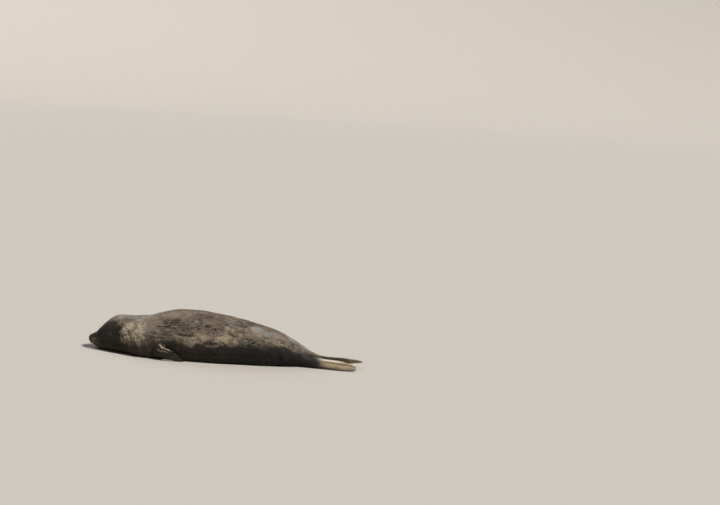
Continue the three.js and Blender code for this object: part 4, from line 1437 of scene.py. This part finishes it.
whiskers = {
    "seed": 31, "rows": 6, "perRow": 6, "length": (34, 128), "radius": 0.62, "stations": 12, "sides": 6,
    "pad": (34, 84, 66, 112),  # where they stand: along from the nose, and up
    "brow": ((112, 207), (121, 211), (131, 212)), "browLength": 62,
    "bow": (0.42, 0, -0.16), "floorGap": 2.2,
}


def whiskerPlans(rng):
    # The root, the length and the lean, back and up, of each whisker: rows on the pads, longest at
    # the back, and a few on the brow
    x0, x1, z0, z1 = whiskers["pad"]
    low, high = whiskers["length"]
    roots, lengths, leans = [], [], []
    for row in range(whiskers["rows"]):
        z = z0 + (z1 - z0) * (row + 0.5) / whiskers["rows"]
        for k in range(whiskers["perRow"]):
            x = x0 + (x1 - x0) * (k + 0.5 * (row % 2)) / (whiskers["perRow"] - 0.5)
            roots.append((x + rng.normal(0, 1.2), z + 0.22 * (x - 58) + rng.normal(0, 1.0)))
            share = (k + 1) / whiskers["perRow"]
            lengths.append((low + (high - low) * share ** 1.3) * rng.uniform(0.85, 1.1))
            leans.append((0.45 + 0.35 * share, 0.10 - 0.28 * (z - z0) / (z1 - z0)))
    for root in whiskers["brow"]:
        roots.append(root)
        lengths.append(whiskers["browLength"] * rng.uniform(0.8, 1.1))
        leans.append((0.35, -0.9))
    return np.array(roots), np.array(lengths), np.array(leans)


def makeWhiskers():
    # root + (lean * t + 0.9 * bow * t|t|) * length, thinner towards the tip and faintly beaded
    roots, lengths, leans = whiskerPlans(np.random.default_rng(whiskers["seed"]))
    reach, stations = lengths[:, None, None], whiskers["stations"]
    t = np.linspace(-0.04, 1, stations)[None, :, None]
    bow = np.array(whiskers["bow"])
    fleshPoints, fleshNormals = straight[~onFin], normals[~onFin]
    paths = []
    for side in (1, -1):
        near = fleshPoints[:, 1] * side > 12
        candidates, outward = fleshPoints[near], fleshNormals[near]
        far = (candidates[None, :, 0] - roots[:, :1]) ** 2 + (candidates[None, :, 2] - roots[:, 1:]) ** 2
        pick = np.argmin(far + 1e6 * (np.abs(candidates[None, :, 1]) < 20), axis=1)
        start, out = candidates[pick], outward[pick]
        back = np.stack([leans[:, 0], 0 * lengths, -leans[:, 1]], 1)
        lean = out * (1 - 0.35 * leans[:, :1]) + back
        lean /= np.linalg.norm(lean, axis=1, keepdims=True)
        paths.append(start[:, None] + lean[:, None] * t * reach + bow * t * np.abs(t) * reach * 0.9)
    paths = np.concatenate(paths)
    paths[:, :, 2] = np.maximum(paths[:, :, 2], whiskers["floorGap"])
    t = np.linspace(0, 1, stations)
    radii = whiskers["radius"] * (1 - t) ** 0.7 * (1 + 0.10 * np.cos(t * 60)) + 0.12
    stouter = np.concatenate([lengths, lengths])[:, None] ** 0.25 / 3.1
    radii = np.broadcast_to(radii, paths.shape[:2]) * stouter
    flatPaths = toFrame(paths.reshape(-1, 3)).reshape(paths.shape)
    p, q, tri = taperedTubes(flatPaths, radii * mm, whiskers["sides"])
    middles = flatPaths.reshape(-1, 3)
    perTube = len(p) // len(paths)
    owner = q[:, 0] // perTube * stations + q[:, 0] % perTube // whiskers["sides"]
    q, tri = outwards(p, q, tri, middles[np.minimum(owner, len(middles) - 1)])
    piece = makeMesh("whiskers", p, q, tri)
    f = Finish("whisker")
    tone = f.noise(f.place(), 60.0, 2.0)
    f.set(Base_Color=f.blend(f.step(tone, 0.4, 0.6), (0.085, 0.066, 0.048), (0.46, 0.40, 0.31)),
          Roughness=0.34 + 0.1 * (tone - 0.5))
    piece.data.materials.append(f.material)
    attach(piece, "root")


makeWhiskers()
print("whiskers set")


# Claws of the fore flippers: a tapered, ridged horn on each digit, as long as the frame's
claw = {
    "length": 46.0, "sunk": 17.0, "radius": 6.2, "flat": 0.86, "droop": 6.0, "stations": 22, "sides": 20,
    "at": 0.97, "up": 3.0,      # where the root lies: share of the flipper's path, and mm above it
    "ringTurn": 46.0, "ringDepth": 0.018,   # the rings of growth: radians from end to end, and depth
    "floorGap": 0.6,
}


def makeClaw(side, digit):
    # radius * sqrt(1 - t) * (0.7 + 0.3 (1 - t)), with faint rings of growth, along a path that
    # droops with the square of t
    station = np.array([claw["at"]])
    centre, along, across, outward = (v[0] for v in flipperFrame(foreFlipper, station))
    c = (2 * digit + 1) / digits - 1
    half = foreFlipper["stations"][-1][1]
    groove = math.cos(math.pi * digits * (c + 1))
    tip = foreFlipper["slant"] * (1 - c) * 0.5 - foreFlipper["scallop"] * groove
    root = centre + along * (tip - claw["sunk"]) + across * half * c + outward * claw["up"]
    share = np.linspace(0, 1, claw["stations"]) ** 0.85
    path = root + np.outer(share, along) * claw["length"] - np.outer(share ** 2, outward) * claw["droop"]
    radii = claw["radius"] * np.sqrt(1 - share * 0.985) * (0.7 + 0.3 * (1 - share))
    radii = radii * (1 + claw["ringDepth"] * np.sin(share * claw["ringTurn"]))
    placedPath = toFrame(path * np.array([1, side, 1]))[None]
    p, q, tri = taperedTubes(placedPath, radii[None] * mm, claw["sides"], claw["flat"])
    owner = np.minimum(q[:, 0] // claw["sides"], claw["stations"] - 1)
    q, tri = outwards(p, q, tri, placedPath[0][owner])
    p[:, 2] = np.maximum(p[:, 2], claw["floorGap"] * mm)
    name = ("right" if side > 0 else "left") + "_fore_claw_" + str(digit + 1)
    piece = makeMesh(name.replace("_", "") + "Horn", p, q, tri)
    setAttribute(piece, "out", np.concatenate([np.repeat(share, claw["sides"]), [0, 1]]))
    piece.data.materials.append(clawMaterial)
    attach(piece, "root")
    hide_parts(name)


def clawFinish():
    f = Finish("claw")
    out = f.attribute("out")
    rings = f.noise(f.place(), 300.0, 2.0, 0.5)
    scratch = f.noise(f.place((900, 160, 160)), 1.0, 3.0)
    paler = f.step(out + 0.3 * (rings - 0.5), 0.35, 0.95)
    colour = f.blend(paler, (0.030, 0.022, 0.016), (0.120, 0.088, 0.056))
    colour = f.blend(f.step(scratch, 0.55, 0.75) * 0.3, colour, (0.17, 0.135, 0.095))
    return f.set(Base_Color=colour, Roughness=0.52 + 0.2 * (scratch - 0.5), Specular_IOR_Level=0.3,
                 Normal=f.bump(0.6 * rings + 0.4 * scratch, 0.0012, 0.5))


clawMaterial = clawFinish()
for side in (1, -1):
    for digit in range(digits):
        makeClaw(side, digit)
print("claws made")


# Floor and light: a wide floor that sweeps up at its edge, and two soft suns
studio = {
    "floor": (0.560, 0.525, 0.480), "flat": 60.0, "sweep": 35.0, "rise": 11.0, "sides": 96,
    "flatRings": (4.0, 12.0, 25.0, 40.0, 52.0, 58.0), "sweepRings": 24,
    "world": (0.115, 0.122, 0.135),
    "key": {"turn": -30.0, "height": 46.0, "spread": 11.0, "power": 3.86, "colour": (1.0, 0.965, 0.91)},
    "fill": {"turn": 140.0, "height": 38.0, "spread": 40.0, "power": 0.62, "colour": (0.93, 0.96, 1.0)},
}


def makeFloor():
    # Rings about the origin: level out to flat, then a circle's arc of radius sweep up to rise
    flat, sweep = studio["flat"], studio["sweep"]
    top = math.acos(1 - studio["rise"] / sweep)
    bend = np.linspace(0, top, studio["sweepRings"])
    radius = np.concatenate([studio["flatRings"], flat + sweep * np.sin(bend)])
    height = np.concatenate([np.zeros(len(studio["flatRings"])), sweep * (1 - np.cos(bend))])
    around = np.arange(studio["sides"]) / studio["sides"] * 2 * np.pi
    rings = np.stack(np.broadcast_arrays(radius[:, None] * np.cos(around), radius[:, None] * np.sin(around),
                                         height[:, None]), -1)
    at = np.arange(rings.shape[0] * studio["sides"]).reshape(rings.shape[:2])
    following = np.roll(at, -1, 1)
    quad = np.stack([at[:-1], at[1:], following[1:], following[:-1]], -1).reshape(-1, 4)
    middle = np.stack([at[0], following[0], np.full(studio["sides"], at.size)], 1)
    floor = makeMesh("floor", np.concatenate([rings.reshape(-1, 3), [[0, 0, 0]]]), quad, middle)
    f = Finish("floor")
    floor.data.materials.append(f.set(Base_Color=studio["floor"], Roughness=0.9))


def makeLamp(name, plan):
    # A wide sun, turned from +X and raised, that shines on the middle
    turn, height = math.radians(plan["turn"]), math.radians(plan["height"])
    out = Vector((math.cos(height) * math.cos(turn), math.cos(height) * math.sin(turn), math.sin(height)))
    data = bpy.data.lights.new(name, "SUN")
    data.angle, data.energy, data.color = math.radians(plan["spread"]), plan["power"], plan["colour"]
    lamp = bpy.data.objects.new(name, data)
    bpy.context.collection.objects.link(lamp)
    lamp.location = out * 10
    lamp.rotation_euler = (-out).to_track_quat("-Z", "Y").to_euler()


makeFloor()
makeLamp("key", studio["key"])
makeLamp("fill", studio["fill"])
world = bpy.data.worlds.new("studio")
world.use_nodes = True
world.node_tree.nodes["Background"].inputs[0].default_value = (*studio["world"], 1)
bpy.context.scene.world = world
bpy.context.scene.view_settings.view_transform = "Standard"
print("studio lit")
